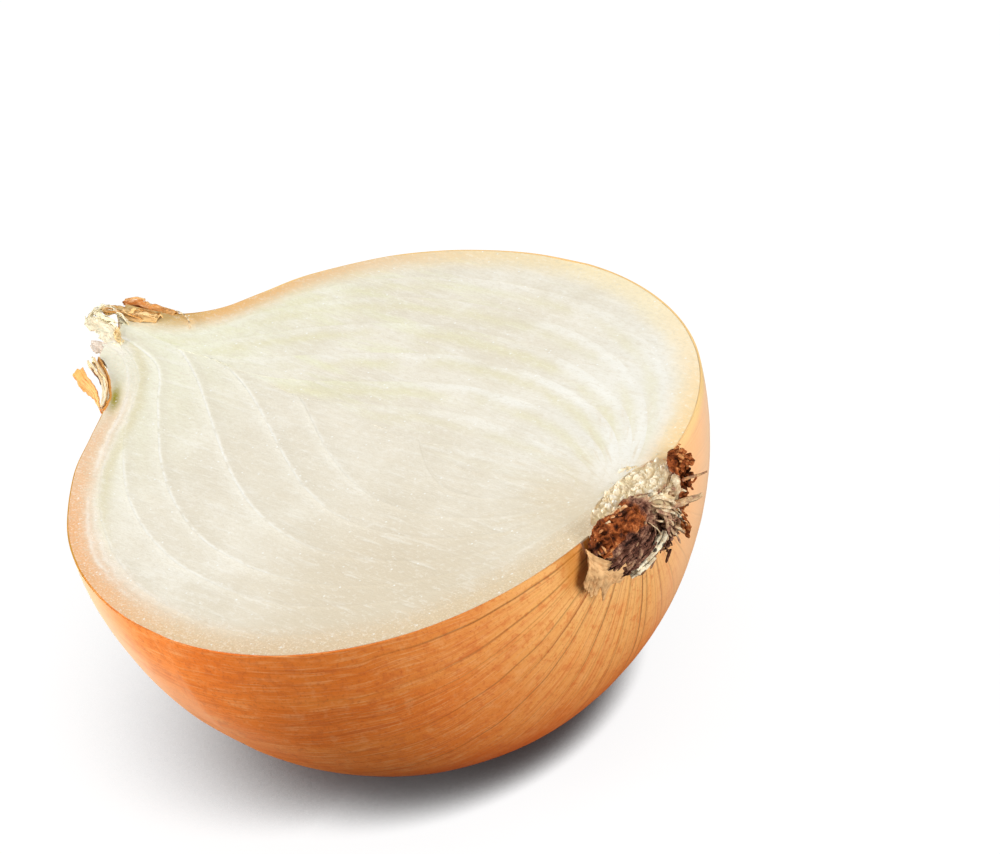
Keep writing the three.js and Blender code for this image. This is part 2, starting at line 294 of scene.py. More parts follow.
class Nodes:
    """The node tree of a material or of the room, to add nodes to."""

    def __init__(self, tree, end):
        self.tree = tree
        self.end = tree.nodes[end]

    def add(self, kind, inputs=(), **settings):
        node = self.tree.nodes.new("ShaderNode" + kind)
        for key, value in settings.items():
            setattr(node, key, value)
        for key, value in dict(inputs).items():
            value = getattr(value, "socket", value)
            if isinstance(value, bpy.types.NodeSocket):
                self.tree.links.new(value, node.inputs[key])
            else:
                node.inputs[key].default_value = value
        return node

    def get(self, kind, inputs=(), output=0, **settings):
        return Value(self, self.add(kind, inputs, **settings).outputs[output])

    def math(self, operation, *values):
        return self.get("Math", enumerate(values), operation=operation)

    def set(self, name, value):
        """A fixed value, or a worked out one, for an input of the last node."""
        if isinstance(value, Value):
            self.tree.links.new(value.socket, self.end.inputs[name])
        else:
            self.end.inputs[name].default_value = value

    def seen_directly(self):
        """1 where the camera looks straight at the surface, or through something clear."""
        seen = self.add("LightPath").outputs
        return self.math("MAXIMUM", seen["Is Camera Ray"], seen["Is Transmission Ray"])


class Finish(Nodes):
    """A surface finish built from nodes: a colour laid on coat by coat, relief and roughness."""

    def __init__(self, name, roughness, specular):
        self.material = bpy.data.materials.new(name)
        self.material.use_nodes = True
        super().__init__(self.material.node_tree, "Principled BSDF")
        self.set("Roughness", roughness)
        self.set("Specular IOR Level", specular)
        where = self.get("TexCoord", output="Object")
        self.place = self.get("VectorMath", {0: where, "Scale": 1 / MM}, operation="SCALE")
        self.colour = None

    def join(self, x, y=0.0, z=0.0):
        return self.get("CombineXYZ", {0: x, 1: y, 2: z})

    def split(self, vector):
        return [Value(self, part) for part in self.add("SeparateXYZ", {0: vector}).outputs]

    def layer(self, name, vector=False):
        return self.get("Attribute", output="Vector" if vector else "Fac", attribute_name=name)

    def noise(self, size, detail=2, roughness=0.5, at=None):
        inputs = {"Vector": at or self.place, "Scale": 1 / size, "Detail": detail}
        return self.get("TexNoise", {**inputs, "Roughness": roughness}, "Fac")

    def cells(self, size, output="Distance"):
        return self.get("TexVoronoi", {"Vector": self.place, "Scale": 1 / size}, output)

    def cell_chances(self, size):
        return self.split(self.cells(size, "Color"))

    def chances(self, value):
        return self.split(self.get("TexWhiteNoise", {"W": value}, "Color", noise_dimensions="1D"))

    def ramp(self, value, stops):
        """The colour that goes with a value, from stops of (value, red, green, blue)."""
        low, high = stops[0][0], stops[-1][0]
        share = self.get("MapRange", {"Value": value, "From Min": low, "From Max": high})
        node = self.add("ValToRGB", {0: share})
        elements = node.color_ramp.elements
        elements[0].color = tint(*stops[0][1:])
        elements[1].color = tint(*stops[-1][1:])
        for where, *colour in stops[1:-1]:
            elements.new((where - low) / (high - low)).color = tint(*colour)
        return Value(self, node.outputs["Color"])

    def coat(self, share, *colour):
        """Lays a colour over what is there, by the share of it that shows."""
        over = colour[0] if len(colour) == 1 else tint(*colour)
        inputs = {0: share, 6: self.colour, 7: over}
        self.colour = self.get("Mix", inputs, 2, data_type="RGBA")

    def finish(self, relief, roughness):
        """Colour, relief in millimetres and roughness reach the shader. Gives the material."""
        self.set("Base Color", self.colour)
        self.set("Roughness", roughness)
        self.set("Normal", self.get("Bump", {"Height": relief, "Distance": MM}, "Normal"))
        return self.material


def skin_finish():
    """Golden paper: meridian fibres, thin veins that gather at the root, a bare golden edge."""
    f = Finish("dry_golden_skin", 0.5, 0.1)
    meridian, to_root, girth = f.split(f.layer("lie", vector=True))
    edge = f.layer("edge")
    x, y, _ = f.split(f.place)
    sway = f.noise(9, 1) - 0.5
    meridian = meridian + sway * 0.035
    fibre_lie = f.join(meridian * BULB_RADIUS, to_root * 0.05)
    streaks = f.noise(1.3, 4, 0.62, at=fibre_lie)
    threads = f.noise(0.3, 3, 0.6, at=fibre_lie)
    bands = f.noise(6, 2, 0.5, at=fibre_lie)
    patches = f.noise(15, 3, 0.55)
    mottle = f.noise(1.6, 4, 0.6)

    def veins(count, width, shortest, longest, seed):
        cell = meridian * (count / math.pi) + seed
        number = f.math("FLOOR", cell)
        chances = f.chances(number + 0.31)
        centre = chances[0] * 0.7 + 0.15
        off = (f.math("FRACT", cell) - centre) * girth * (math.pi / count)
        line = off.bell(0, width)
        length = chances[1] * (longest - shortest) + shortest
        fade = (to_root / length).rise(0.35, 1, 1, 0)
        return line * fade * (chances[2] * 0.7 + 0.3)

    main_veins = veins(19, 0.13, 16, 56, 3)
    side_veins = veins(47, 0.09, 10, 74, 7.4)
    golds = [(0, 244, 192, 122), (8, 240, 174, 100), (18, 236, 150, 76), (32, 236, 132, 54)]
    golds += [(54, 248, 134, 52), (72, 252, 156, 78), (90, 252, 170, 100)]
    f.colour = f.ramp(to_root, golds)
    f.coat(patches.rise(0.42, 0.7, 0, 0.45), 234, 112, 30)
    f.coat(bands.rise(0.5, 0.75, 0, 0.4), 252, 176, 92)
    f.coat(streaks.rise(0.48, 0.72, 0, 0.6), 208, 98, 42)
    f.coat(threads.rise(0.48, 0.7, 0, 0.5), 252, 188, 124)
    f.coat(mottle.rise(0.5, 0.66, 0, 0.4), 214, 108, 52)
    f.coat(mottle.rise(0.46, 0.32, 0, 0.22), 250, 184, 122)
    dust = f.noise(0.4, 3, 0.7)
    f.coat(dust.rise(0.52, 0.7, 0, 0.4), 200, 96, 44)
    f.coat(side_veins * 0.42, 168, 92, 40)
    f.coat(main_veins * 0.68, 112, 62, 28)
    # Painted highlight on the far side by the root, partly the skin's own paler colour there.
    far_root = y.rise(2, 16) * to_root.rise(56, 20) * 0.85
    f.coat(far_root, 255, 196, 142)
    # Painted shadow of the torn flap: the skin just beside it is darkened to amber.
    flap_shadow = x.bell(38.2, 1.6) * y.bell(-8.6, 2.2) * edge.rise(8, 4)
    f.coat(flap_shadow * 0.8, 196, 118, 34)
    neckward = x.rise(-8, -26)
    bare = edge.rise(0.25, 0.6, 1, 0) * neckward
    f.coat(bare * 0.85, 208, 158, 62)
    # Darker and redder towards the bottom: painted shade, partly the skin's deeper colour there.
    f.coat(edge.rise(24, 40, 0, 0.75), 228, 72, 10)
    # Painted sheen: the skin turns pale where it is seen at a grazing angle.
    grazing_sheen = f.get("LayerWeight", {"Blend": 0.5}, "Facing").rise(0.6, 1) * edge.rise(26, 6)
    f.coat(grazing_sheen * 0.75, 255, 222, 188)
    far_lip = y.rise(8, 22) * edge.rise(2.2, 0.3)
    f.coat(far_lip * 0.85, 248, 212, 144)
    relief = streaks * 0.04 + threads * 0.03 + mottle * 0.05 + dust * 0.03
    relief = relief - main_veins * 0.025 + f.cells(0.55).rise(0, 0.3) * 0.012
    return f.finish(relief, streaks.rise(0.3, 0.8, 0.46, 0.62))


def skin_stations(boundary, turns):
    """x of each row of the skin, for each turn, evenly spaced along the skin."""
    start = np.full(len(turns), float(SKIN_END))
    for _ in range(SEARCH_ROUNDS):
        start = SKIN_END - SKIN_SLANT * boundary.place(start, turns)[:, 1]
    low = np.full(len(turns), 20.0)
    high = np.full(len(turns), boundary.root - 0.01)
    for _ in range(SEARCH_ROUNDS):
        half = (low + high) / 2
        at = boundary.place(half, turns, -100)
        outside = np.hypot(at[:, 1] - CROWN_Y, at[:, 2] - FACE) > SKIN_HOLE
        low = np.where(outside, half, low)
        high = np.where(outside, high, half)
    share = np.sin(np.linspace(0, math.pi / 2, SKIN_SAMPLES))[:, None]
    x = start + (low - start) * share
    length = length_along(boundary.place(x, turns[None, :]))
    rows = np.linspace(0, 1, SKIN_ROWS)
    stations = [np.interp(rows * run[-1], run, column) for run, column in zip(length.T, x.T)]
    to_root = [run[-1] * (1 - rows) for run in length.T]
    return np.array(stations).T, np.array(to_root).T


OUTER_MIDDLE = (-0.8, 3.9, 1.5)
bulb = Boundary(BULB_RADIUS, 0, 38.4, 1, OUTER_MIDDLE, 3, neck=NECK_RADIUS, roundness=0.43, settle=3)
turns = np.linspace(0, math.pi, SKIN_COLUMNS)
stations, to_root = skin_stations(bulb, turns)
skin = bulb.place(stations, turns[None, :])
outward = -grid_normals(skin)
middle = bulb.middle_at(stations)
towards = middle + (CROWN_Y - middle) * step_up(stations, 8, 37)
below = (FACE - skin[..., 2]) / depth_at(stations)
meridian = np.arctan2(below, towards - skin[..., 1])
girth = np.hypot(below, towards - skin[..., 1])
meridian_lie = np.stack([meridian * BULB_RADIUS, to_root / 9, 0 * meridian], -1)
edge = FACE - skin[..., 2]
swell = 0.14 * lumps(skin, 21, 2) + 0.03 * lumps(meridian_lie, 3.4, 2)
swell *= step_up(skin[..., 2], 0.05, 1.5) * step_up(edge, 0.1, 7)
skin = skin + outward * swell[..., None]
skin[..., 2] = np.clip(skin[..., 2], 0, FACE)
inner_skin = skin - outward * SKIN_THICKNESS
inner_skin[..., 2] = np.minimum(inner_skin[..., 2], FACE)
skin_points, skin_faces = thick_sheet(skin, inner_skin)
lie = np.stack([meridian, to_root, girth], -1)
skin_layers = {
    "lie": np.concatenate([lie.reshape(-1, 3)] * 2),
    "edge": np.concatenate([edge.ravel()] * 2),
}
dry_skin = mesh_piece("dry_skin_paper", skin_points, skin_faces, skin_finish(), skin_layers)
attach(dry_skin, "root")
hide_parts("dry_skin")

# ---------------------------------------------------------------- fleshy scales
# Seven juicy leaf bases round a small bud, all grown from the stem plate. The outer four run out
# through the neck and the inner three close in a point. Each is one thick bowl whose cut edge
# shows on the face as two bands that meet the next scale along a thin white line.

BOUNDARIES = [
    Boundary(42.52, 0, 38.1, 1, OUTER_MIDDLE, 3, neck=5.3, roundness=0.43, settle=3),
    Boundary(36.9, 2.5, 34.5, 1.18, (-2.1, 4, 1), 2, neck=3.4),
    Boundary(31, 2.5, 33, 1.22, (-1.7, 4.1, 1), 2, neck=2.4),
    Boundary(26, 3, 31.6, 1.9, (-2, 4.2, 1.5), 2, neck=1.4),
    Boundary(20.5, 5.5, 28.4, 1.45, (-1, 4.3, 1.5), 2, reach=48.5),
    Boundary(14.8, 8.5, 24.4, 1.9, (-0.6, 4.4, 2), 2, reach=44),
    Boundary(9.6, 10, 21.6, 1.2, (-0.8, 2.6, 2.3), 2, reach=28.5),
    Boundary(4.2, 15.5, 14, 1.05, (-0.6, 1.6, 2.6), 2, reach=11.7),
]
SCALE_ENDS = [-52.9, -53.4, -52.6, -51.8]
SCALE_SLANT = math.tan(math.radians(25))
PLATE_X = 35.2
PLATE_Y = 3.6
HIDDEN_MIDDLE = (37.2, 4.6)
HIDDEN_HALF = (2.9, 7.6)
SCALE_ROWS = 220
SCALE_SAMPLES = 900
BAND_COLUMNS = 16
WALL_COLUMNS = 20
FLESH_FLOOR = 0.4
HEART_END = (34.6, 3.2)
FAR_AWAY = 20.0
STAINED_RADIUS = 30
SLIT_PLACE = (-43.1, -7.9)
SLIT_COS = 0.62
SLIT_SIN = 0.785
SLIT_LENGTH = 2.9
SLIT_WIDTH = 0.8


def inside_plate(x, y):
    """Whether a point of the cut face is under the stem plate's beads or the crown."""
    off_x = (x - HIDDEN_MIDDLE[0]) / HIDDEN_HALF[0]
    off_y = (y - HIDDEN_MIDDLE[1]) / HIDDEN_HALF[1]
    crown = (x > CROWN_X - 0.4) & (np.abs(y - CROWN_Y) < CROWN_RADIUS - 0.3)
    return (off_x**2 + off_y**2 < 1) | crown


def face_line(boundary, side, end):
    """A boundary on the cut face, from the neck to the stem plate. side: -1 near, 0 middle, 1 far."""

    def y_at(x):
        return boundary.middle_at(x) + side * boundary.radius_at(x)

    if end is None:
        start = boundary.belly - boundary.reach
    else:
        start = end
        for _ in range(SEARCH_ROUNDS):
            start = end - SCALE_SLANT * float(y_at(np.array(start)))
    tip = boundary.belly + boundary.root
    x = start + (tip - start) * np.sin(np.linspace(0, math.pi / 2, SCALE_SAMPLES)) ** 0.9
    y = y_at(x)
    hidden = np.flatnonzero(inside_plate(x, y))
    if len(hidden):
        x, y = x[: hidden[0] + 1], y[: hidden[0] + 1]
    elif tip < HEART_END[0]:
        share = np.linspace(0, 1, 40)[1:]
        x = np.append(x, tip + (HEART_END[0] - tip) * share)
        y = np.append(y, y[-1] + (HEART_END[1] - y[-1]) * share)
    return np.stack([x, y], -1)


def sample(line, stations, at):
    """The points of a line at some places, given the station of each of its own points."""
    return np.stack([np.interp(at, stations, column) for column in line.T], -1)


def even_rows(line, count):
    """The same line with the given number of evenly spaced points."""
    length = length_along(line)
    return sample(line, length, np.linspace(0, length[-1], count))


def raised(flat, height=0.0):
    """Points of a plane with a height for each."""
    return np.concatenate([flat, height + 0 * flat[..., :1]], -1)


def distance_to(points, line):
    """The distance from each point to the nearest point of a line, all on the cut face."""
    a, b = line[:-1], line[1:]
    step = b - a
    found = []
    for p in points.reshape(-1, 2):
        share = np.clip(((p - a) * step).sum(-1) / np.maximum((step**2).sum(-1), 1e-12), 0, 1)
        nearest = a + share[:, None] * step - p
        found.append(math.sqrt((nearest**2).sum(-1).min()))
    return np.array(found).reshape(points.shape[:-1])


def wall(boundary, near, far, core=False):
    """The round surface under the face between a boundary's near and far lines."""
    turn = np.linspace(0, math.pi, WALL_COLUMNS + 2)[1:-1]
    share = (1 - np.cos(turn)) / 2
    x = near[:, :1] + (far[:, :1] - near[:, :1]) * share
    width = 0 if core else 1
    radius = width * boundary.radius_at(x)
    off_near = near[:, 1] - boundary.middle_at(near[:, 0]) + width * boundary.radius_at(near[:, 0])
    off_far = far[:, 1] - boundary.middle_at(far[:, 0]) - width * boundary.radius_at(far[:, 0])
    off = off_near[:, None] + (off_far - off_near)[:, None] * share
    y = boundary.middle_at(x) - radius * np.cos(turn) + off
    z = np.maximum(FACE - depth_at(x) * radius * np.sin(turn), FLESH_FLOOR)
    return np.stack([x, y, z], -1)


def face_relief(points, from_rim, from_core, girth, side):
    """Height of the cut flesh over the plane of the knife."""
    flat = raised(points)
    height = 0.09 * lumps(flat, 9, 2) + 0.025 * lumps(flat * [0.3, 1, 1], 1.1)
    crisp = (1.0 if side < 0 else 0.4) * step_up(girth, 1.0, 6.0)
    height = height + crisp * 0.03 * np.exp(-((from_rim / 0.3) ** 2))
    return height + crisp * 0.03 * np.exp(-((from_core / 0.3) ** 2))


def inner_rows(boundary, side, end, start, count, core):
    """Rows of an inner boundary on the face, led to it from the outer one's tip at start."""
    line = face_line(boundary, 0 if core else side, end)
    if end is not None or core:
        parted = line[boundary.radius_at(line[:, 0]) > 0.02]
        return even_rows(line, count), parted
    tip_x, tip_y = line[0]
    share = (tip_x - start[0]) / (boundary.belly + boundary.root - start[0])
    lead_count = int(count * 0.8 * share) + 2
    lead_x = np.linspace(start[0], tip_x, lead_count)[:-1]
    lead_y = np.linspace(start[1], tip_y, lead_count)[:-1]
    lead = np.stack([lead_x, lead_y], -1)
    return np.vstack([lead, even_rows(line, count - len(lead))]), line


def cut_scale(name, outer, inner, end, material):
    """One scale: two bands on the face, a wall inside, a wall outside and two end caps."""
    core = inner is None
    inner = inner or outer
    across = (1 - np.cos(np.linspace(0, math.pi, BAND_COLUMNS))) / 2
    bands, rims, lines = {}, {}, {}
    for side in (-1, 1):
        rim = face_line(outer, side, end)
        rim_rows = even_rows(rim, SCALE_ROWS)
        heart_rows, heart = inner_rows(inner, side, end, rim[0], SCALE_ROWS, core)
        flat = rim_rows[:, None] + (heart_rows - rim_rows)[:, None] * across[None, :, None]
        from_rim = distance_to(flat, rim[::3])
        from_core = np.full_like(from_rim, FAR_AWAY) if core else distance_to(flat, heart[::3])
        girth = outer.radius_at(flat[..., 0])
        height = face_relief(flat, from_rim, from_core, girth, side)
        bands[side] = raised(flat, FACE + height[..., None])
        rims[side] = np.stack([from_rim, from_core, np.full_like(from_rim, side)], -1)
        lines[side] = (rim_rows, heart_rows)
    inside = wall(inner, lines[-1][1], lines[1][1], core)
    outside = wall(outer, lines[-1][0], lines[1][0])
    loop = np.concatenate([bands[-1], inside, bands[1][:, ::-1], outside[:, ::-1]], 1)
    under = np.broadcast_to(np.array([FAR_AWAY, FAR_AWAY, 0.0]), inside.shape)
    from_skin = np.full(loop.shape[:2], FAR_AWAY)
    if outer.radius > STAINED_RADIUS:
        shown = loop[..., 2] > FACE - 1
        outlines = [face_line(BOUNDARIES[0], side, SCALE_ENDS[0])[::4] for side in (-1, 1)]
        gaps = [distance_to(loop[..., :2][shown], outline) for outline in outlines]
        from_skin[shown] = np.minimum(*gaps)
    layers = {
        "rims": np.concatenate([rims[-1], under, rims[1][:, ::-1], under], 1),
        "from_skin": from_skin,
    }
    rows, columns = loop.shape[:2]
    faces = grid_faces(rows, columns, closed=True)
    faces.append(list(range(columns))[::-1])
    faces.append([(rows - 1) * columns + j for j in range(columns)])
    return mesh_piece(name, loop, faces, material, layers)


def flesh_finish(number, line_near, line_far, band_far, near_skin):
    """Wet cream flesh. A white line marks its outer rim, and the rim by the skin is peach."""
    f = Finish(f"onion_flesh_{number}", 0.7, 0.06)
    from_rim, from_core, side = f.split(f.layer("rims", vector=True))
    x, y, z = f.split(f.place)
    near = side.rise(-0.2, 0.2, 1, 0)
    far = side.rise(-0.2, 0.2, 0, 1)
    clouds = f.noise(9, 3, 0.55)
    wander = f.noise(3, 3, 0.6) - 0.5
    grain = f.noise(0.35, 2, 0.6)
    speckle = f.noise(0.16, 2, 0.7)
    lengthways = f.join(x * 0.14, y, number * 3.7)
    streaks = f.noise(0.9, 4, 0.6, at=lengthways)
    f.colour = tint(232, 224, 205)
    f.coat(clouds.rise(0.35, 0.68), 241, 235, 219)
    f.coat(x.rise(-48, -16, 0.75, 0), 240, 240, 212)
    far_root = x.rise(2, 28) * y.rise(-4, 14)
    f.coat(far_root * 0.75, 244, 242, 232)
    near_root = x.rise(-8, 20) * y.rise(2, -22)
    f.coat(near_root * 0.9, 222, 208, 182)
    bud_shade = x.bell(4, 20) * y.bell(1, 8)
    f.coat(bud_shade * 0.4, 231, 222, 203)
    green = f.noise(2.6, 3, at=lengthways).rise(0.45, 0.7) * x.rise(12, -18) * far
    f.coat(green * 0.5, 238, 238, 196)
    f.coat(streaks.rise(0.52, 0.75) * 0.4, 231, 221, 199)
    f.coat(streaks.rise(0.48, 0.28) * 0.4, 249, 246, 236)
    fading = (x + wander * 14).rise(16, -10)
    # Painted shade: a greyer band beside the white line on the near side.
    grey = from_rim.bell(0.9, 0.8) * near * fading * line_near * 0.35
    f.coat(grey, 226, 218, 199)
    soft = (from_core + wander * 0.5).bell(0.2, 1.1) * near * fading * 0.35
    f.coat(soft, 248, 245, 232)
    drift = from_rim + wander * 1.6
    pale_far = drift.bell(0.7, 0.8) * far * line_far * clouds.rise(0.3, 0.6)
    pale_far = pale_far * x.rise(-16, 16, 0.4, 1)
    f.coat(pale_far, 251, 250, 242)
    tan_far = drift.bell(2.3, 0.9) * far * band_far * clouds.rise(0.7, 0.4)
    f.coat(tan_far, 232, 226, 188)
    # The white line: the membrane's own pale colour with a painted wet glint along it.
    broken = f.noise(2.4, 3, 0.7).rise(0.3, 0.55)
    thin = (from_rim + wander * 0.35).bell(0.12, 0.24)
    white = thin * near * broken * line_near * fading * 0.85
    f.coat(white, 253, 251, 242)
    off_y = y - PLATE_Y
    off_x = x - PLATE_X
    fibre_turn = f.math("ARCTAN2", off_y, off_x - 1.5)
    to_plate = f.math("SQRT", off_y * off_y + off_x * off_x)
    rays = f.noise(0.6, 4, 0.6, at=f.join(fibre_turn * 8, to_plate * 0.09))
    close = to_plate.rise(26, 7)
    f.coat(rays.rise(0.5, 0.72) * close * 0.5, 250, 246, 236)
    by_plate = to_plate.rise(16, 5) * y.rise(12, -2) * 0.6
    f.coat(by_plate, 226, 208, 174)
    f.coat(rays.rise(0.5, 0.3) * close * 0.45, 226, 210, 178)
    relief = grain * 0.035 + streaks * 0.05 + white * 0.04
    if near_skin:
        relief = peach_rim(f, relief, x, far, wander)
        slit_x = x - SLIT_PLACE[0]
        slit_y = y - SLIT_PLACE[1]
        along = slit_x * SLIT_COS - slit_y * SLIT_SIN
        across = slit_x * SLIT_SIN + slit_y * SLIT_COS
        slit = along.bell(0, SLIT_LENGTH) * across.bell(0, SLIT_WIDTH)
        f.coat(slit, 170, 156, 44)
        relief = relief - slit * 0.3
    # Painted shade: the flesh wall below the face by the crown is tinted dark amber.
    below = z.rise(FACE - 0.02, FACE - 0.4) * x.rise(34.5, 36)
    f.coat(below, 226, 148, 62)
    flecks = f.noise(0.5, 3, 0.7, at=f.join(x * 0.6, y, number * 1.9))
    f.coat(flecks.rise(0.52, 0.68, 0, 0.3), 252, 249, 240)
    f.coat(flecks.rise(0.48, 0.34, 0, 0.3), 222, 212, 190)
    glint = f.cells(0.8).rise(0.24, 0.1) * f.cell_chances(0.8)[0].rise(0.84, 0.9)
    f.coat(glint * 0.7, 255, 255, 250)
    f.coat(speckle.rise(0.6, 0.8, 0, 0.25), 255, 252, 242)
    return f.finish(relief, grain.rise(0.3, 0.8, 0.6, 0.8))


RIM_NEAR = [(-46, 240, 232, 204), (-40, 240, 200, 160), (-28, 243, 182, 126), (-14, 240, 186, 134)]
RIM_NEAR += [(0, 228, 194, 150), (16, 220, 194, 158), (34, 222, 200, 164)]
RIM_FAR = [(-50, 214, 180, 112), (-42, 240, 186, 116), (-30, 241, 208, 164), (-16, 245, 222, 178)]
RIM_FAR += [(0, 250, 233, 190), (14, 251, 236, 198), (26, 251, 231, 192), (38, 250, 214, 152)]


def peach_rim(f, relief, x, far, wander):
    """The colour of the skin has spread into the flesh beside it, most on the near side."""
    gap = f.layer("from_skin") + wander * 1.5
    near = 1 - far
    depth_near = x.rise(-34, 2, 4.6, 6.2)
    share_near = (gap / depth_near).rise(0.1, 1, 0.95, 0) * near
    share_near = share_near * x.rise(-46, -38, 0.25, 1)
    f.coat(share_near, f.ramp(x, RIM_NEAR))
    share_far = gap.rise(0.4, 5, 0.95, 0) * far
    f.coat(share_far, f.ramp(x, RIM_FAR))
    left = x.rise(-2, -20) * near
    faint = f.noise(5, 3, 0.6).rise(0.3, 0.6)
    for middle, width, share in ((2.6, 0.32, 0.65), (3.7, 0.3, 0.5)):
        f.coat(gap.bell(middle, width) * left * share * faint, 253, 246, 234)
    olive = gap.bell(4.7, 0.8) * x.rise(-14, -34) * near * 0.6
    f.coat(olive, 226, 216, 176)
    sand = f.noise(0.3, 2, 0.7).rise(0.5, 0.7) * near * gap.rise(7, 1) * 0.55
    f.coat(sand, 255, 238, 212)
    # Painted glints: small white dots by the near rim, which also stand a little proud.
    rim_glints = f.cells(0.4).rise(0.3, 0.1) * f.cell_chances(0.4)[1].rise(0.62, 0.72)
    rim_glints = rim_glints * near * gap.rise(8, 2)
    f.coat(rim_glints * 0.75, 255, 248, 234)
    return relief + rim_glints * 0.04


# How strongly the white line shows on the near and the far side, and the tan band beside it.
LINE_STRENGTHS = [(0.5, 0.1, 0.25), (0.7, 0.35, 0.4), (0.85, 0.5, 0.45), (1.0, 0.55, 0.6)]
LINE_STRENGTHS += [(1.0, 0.65, 0.6), (0.9, 0.6, 0.5), (0.5, 0.4, 0.3), (0.3, 0.2, 0.1)]
for i, outer in enumerate(BOUNDARIES):
    number = i + 1
    is_bud = number == len(BOUNDARIES)
    inner = None if is_bud else BOUNDARIES[number]
    end = SCALE_ENDS[i] if i < len(SCALE_ENDS) else None
    material = flesh_finish(number, *LINE_STRENGTHS[i], outer.radius > STAINED_RADIUS)
    node = "centre_bud" if is_bud else f"fleshy_scale_{number}"
    piece = cut_scale(f"{node}_flesh", outer, inner, end, material)
    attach(piece, "root")
    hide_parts(node)

# ---------------------------------------------------------------- stem plate
# The squat stem that carries every scale: a lens of firm, grainy tissue, cut through by the
# knife. Its cells have burst into small cream beads that stand a little proud of the flesh.

PLATE_OUTLINE = [
    (38.9, -5.2), (36.6, -4), (34.4, -2.4), (33, 0.4), (31.9, 3.6), (31.9, 7.6), (32.9, 11.2),
    (35.2, 13.6), (37.6, 13), (38.6, 11), (40.6, 9.6), (41.9, 7), (41.6, 5), (40.3, 3.8),
    (39.2, 2.6), (38.8, 0.6), (39.1, -2.4),
]
PLATE_RINGS = 100
PLATE_SPOKES = 280
PLATE_SINK = 0.4
PLATE_DEPTH = 8.3
BIG_BEAD = 0.95
SMALL_BEAD = 0.5


def beads(points, size, seed):
    """Domes of about the given size, and a 0 to 1 chance for the bead that each point is on."""
    heights = []
    chances = []
    for p in points.reshape(-1, 3) / size + seed:
        distances, centres = noise.voronoi(Vector(p))
        gap = min(1.0, 4 * (distances[1] - distances[0]))
        heights.append(max(0.0, 1 - 1.15 * distances[0]) * gap)
        chances.append(math.sin(centres[0] @ Vector((12.9, 78.2, 37.7))) * 437.5 % 1)
    shape = points.shape[:-1]
    return np.array(heights).reshape(shape), np.array(chances).reshape(shape)


def plate_finish():
    """Cream grains, paler on their tops and darker between them as painted highlight and shade, and
    browner where the plate runs into the crown.
    """
    f = Finish("stem_plate_beads", 0.32, 0.5)
    x, y, _ = f.split(f.place)
    grain = f.noise(0.3, 3, 0.65)
    clouds = f.noise(2.2, 2)
    # The ramp over bead height paints light on the bead tops and shade in the gaps, over the cream of
    # the tissue.
    creams = [(0, 222, 196, 152), (0.22, 236, 216, 178), (0.5, 244, 230, 200), (1, 254, 248, 232)]
    f.colour = f.ramp(f.layer("bead"), creams)
    f.coat(clouds.rise(0.46, 0.7, 0, 0.5), 240, 220, 172)
    by_crown = (x + clouds * 2).rise(39, 40.6) * y.rise(2, -2)
    f.coat(by_crown * 0.6, 222, 186, 130)
    f.coat(grain.rise(0.6, 0.8, 0, 0.4), 255, 252, 240)
    return f.finish(grain * 0.06, grain.rise(0.3, 0.8, 0.2, 0.5))


outline = smooth_path(PLATE_OUTLINE + PLATE_OUTLINE[:1], PLATE_SPOKES + 1)[:-1]
plate_middle = outline.mean(0)
rings = np.linspace(0, 1, PLATE_RINGS)[:, None, None]
flat = raised(plate_middle + (outline - plate_middle)[None] * rings)
big, big_chance = beads(flat, BIG_BEAD, 3.0)
small, small_chance = beads(flat, SMALL_BEAD, 8.0)
inset = 1 - rings[..., 0] + 0 * big
cover = np.clip(1.6 * inset + 0.45 * lumps(flat, 2.2, 2) * (inset > 0.02), 0, 1)
cover = np.maximum(cover, step_up(flat[..., 0], 36.4, 38.6))
big_shown = big * (0.35 + 0.65 * big_chance) * step_up(cover - big_chance * 0.9, 0, 0.12)
small_shown = small * step_up(cover - small_chance, 0, 0.12)
bead = np.clip(1.15 * big_shown + 0.5 * small_shown, 0, 1)
top = flat.copy()
sunk = PLATE_SINK * step_up(cover, 0.4, 1) - PLATE_SINK
top[..., 2] = FACE + sunk + 0.7 * bead + 0.2 * lumps(flat, 2.4)
under = flat.copy()
belly = np.sqrt(np.clip(1 - rings[..., 0] ** 2, 0, 1))
under[..., 2] = FACE - 2 * PLATE_SINK - PLATE_DEPTH * belly
plate_points, plate_faces = thick_sheet(top, under, round_grid=True)
plate_layers = {"bead": np.concatenate([bead.ravel(), 0 * bead.ravel()])}
stem_plate = mesh_piece("stem_plate_tissue", plate_points, plate_faces, plate_finish(), plate_layers)
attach(stem_plate, "root")
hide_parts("stem_plate")

# ---------------------------------------------------------------- root crown
# The dead outside of the stem plate: a pad of brown cork, bristling with the torn stumps of
# old roots. It is one lumpy body, with tufts of dry strands grown out of it.

CROWN_PROFILE = [
    (0, 37.4), (6.5, 37.3), (9.2, 37.5), (10.2, 38.4), (9.9, 39.4), (8.4, 40.3), (6, 40.9),
    (3.2, 41.1), (0, 41.0),
]
CROWN_LIMIT = [
    (-7, 39), (-3, 38.9), (-1, 38.7), (1.5, 38.4), (2.8, 38.9), (4.1, 40.1), (5.2, 41.2),
    (6.8, 41.2), (9, 40.5), (10.4, 38.9), (11.4, 38.1), (13.8, 37.3), (15, 37.5),
]
CROWN_STEPS = 130
CROWN_AROUND = 260
CROWN_TILT = math.radians(5)
CROWN_HEART = (39.4, CROWN_Y, FACE - 3)
crown_line = smooth_path(CROWN_PROFILE, CROWN_STEPS)


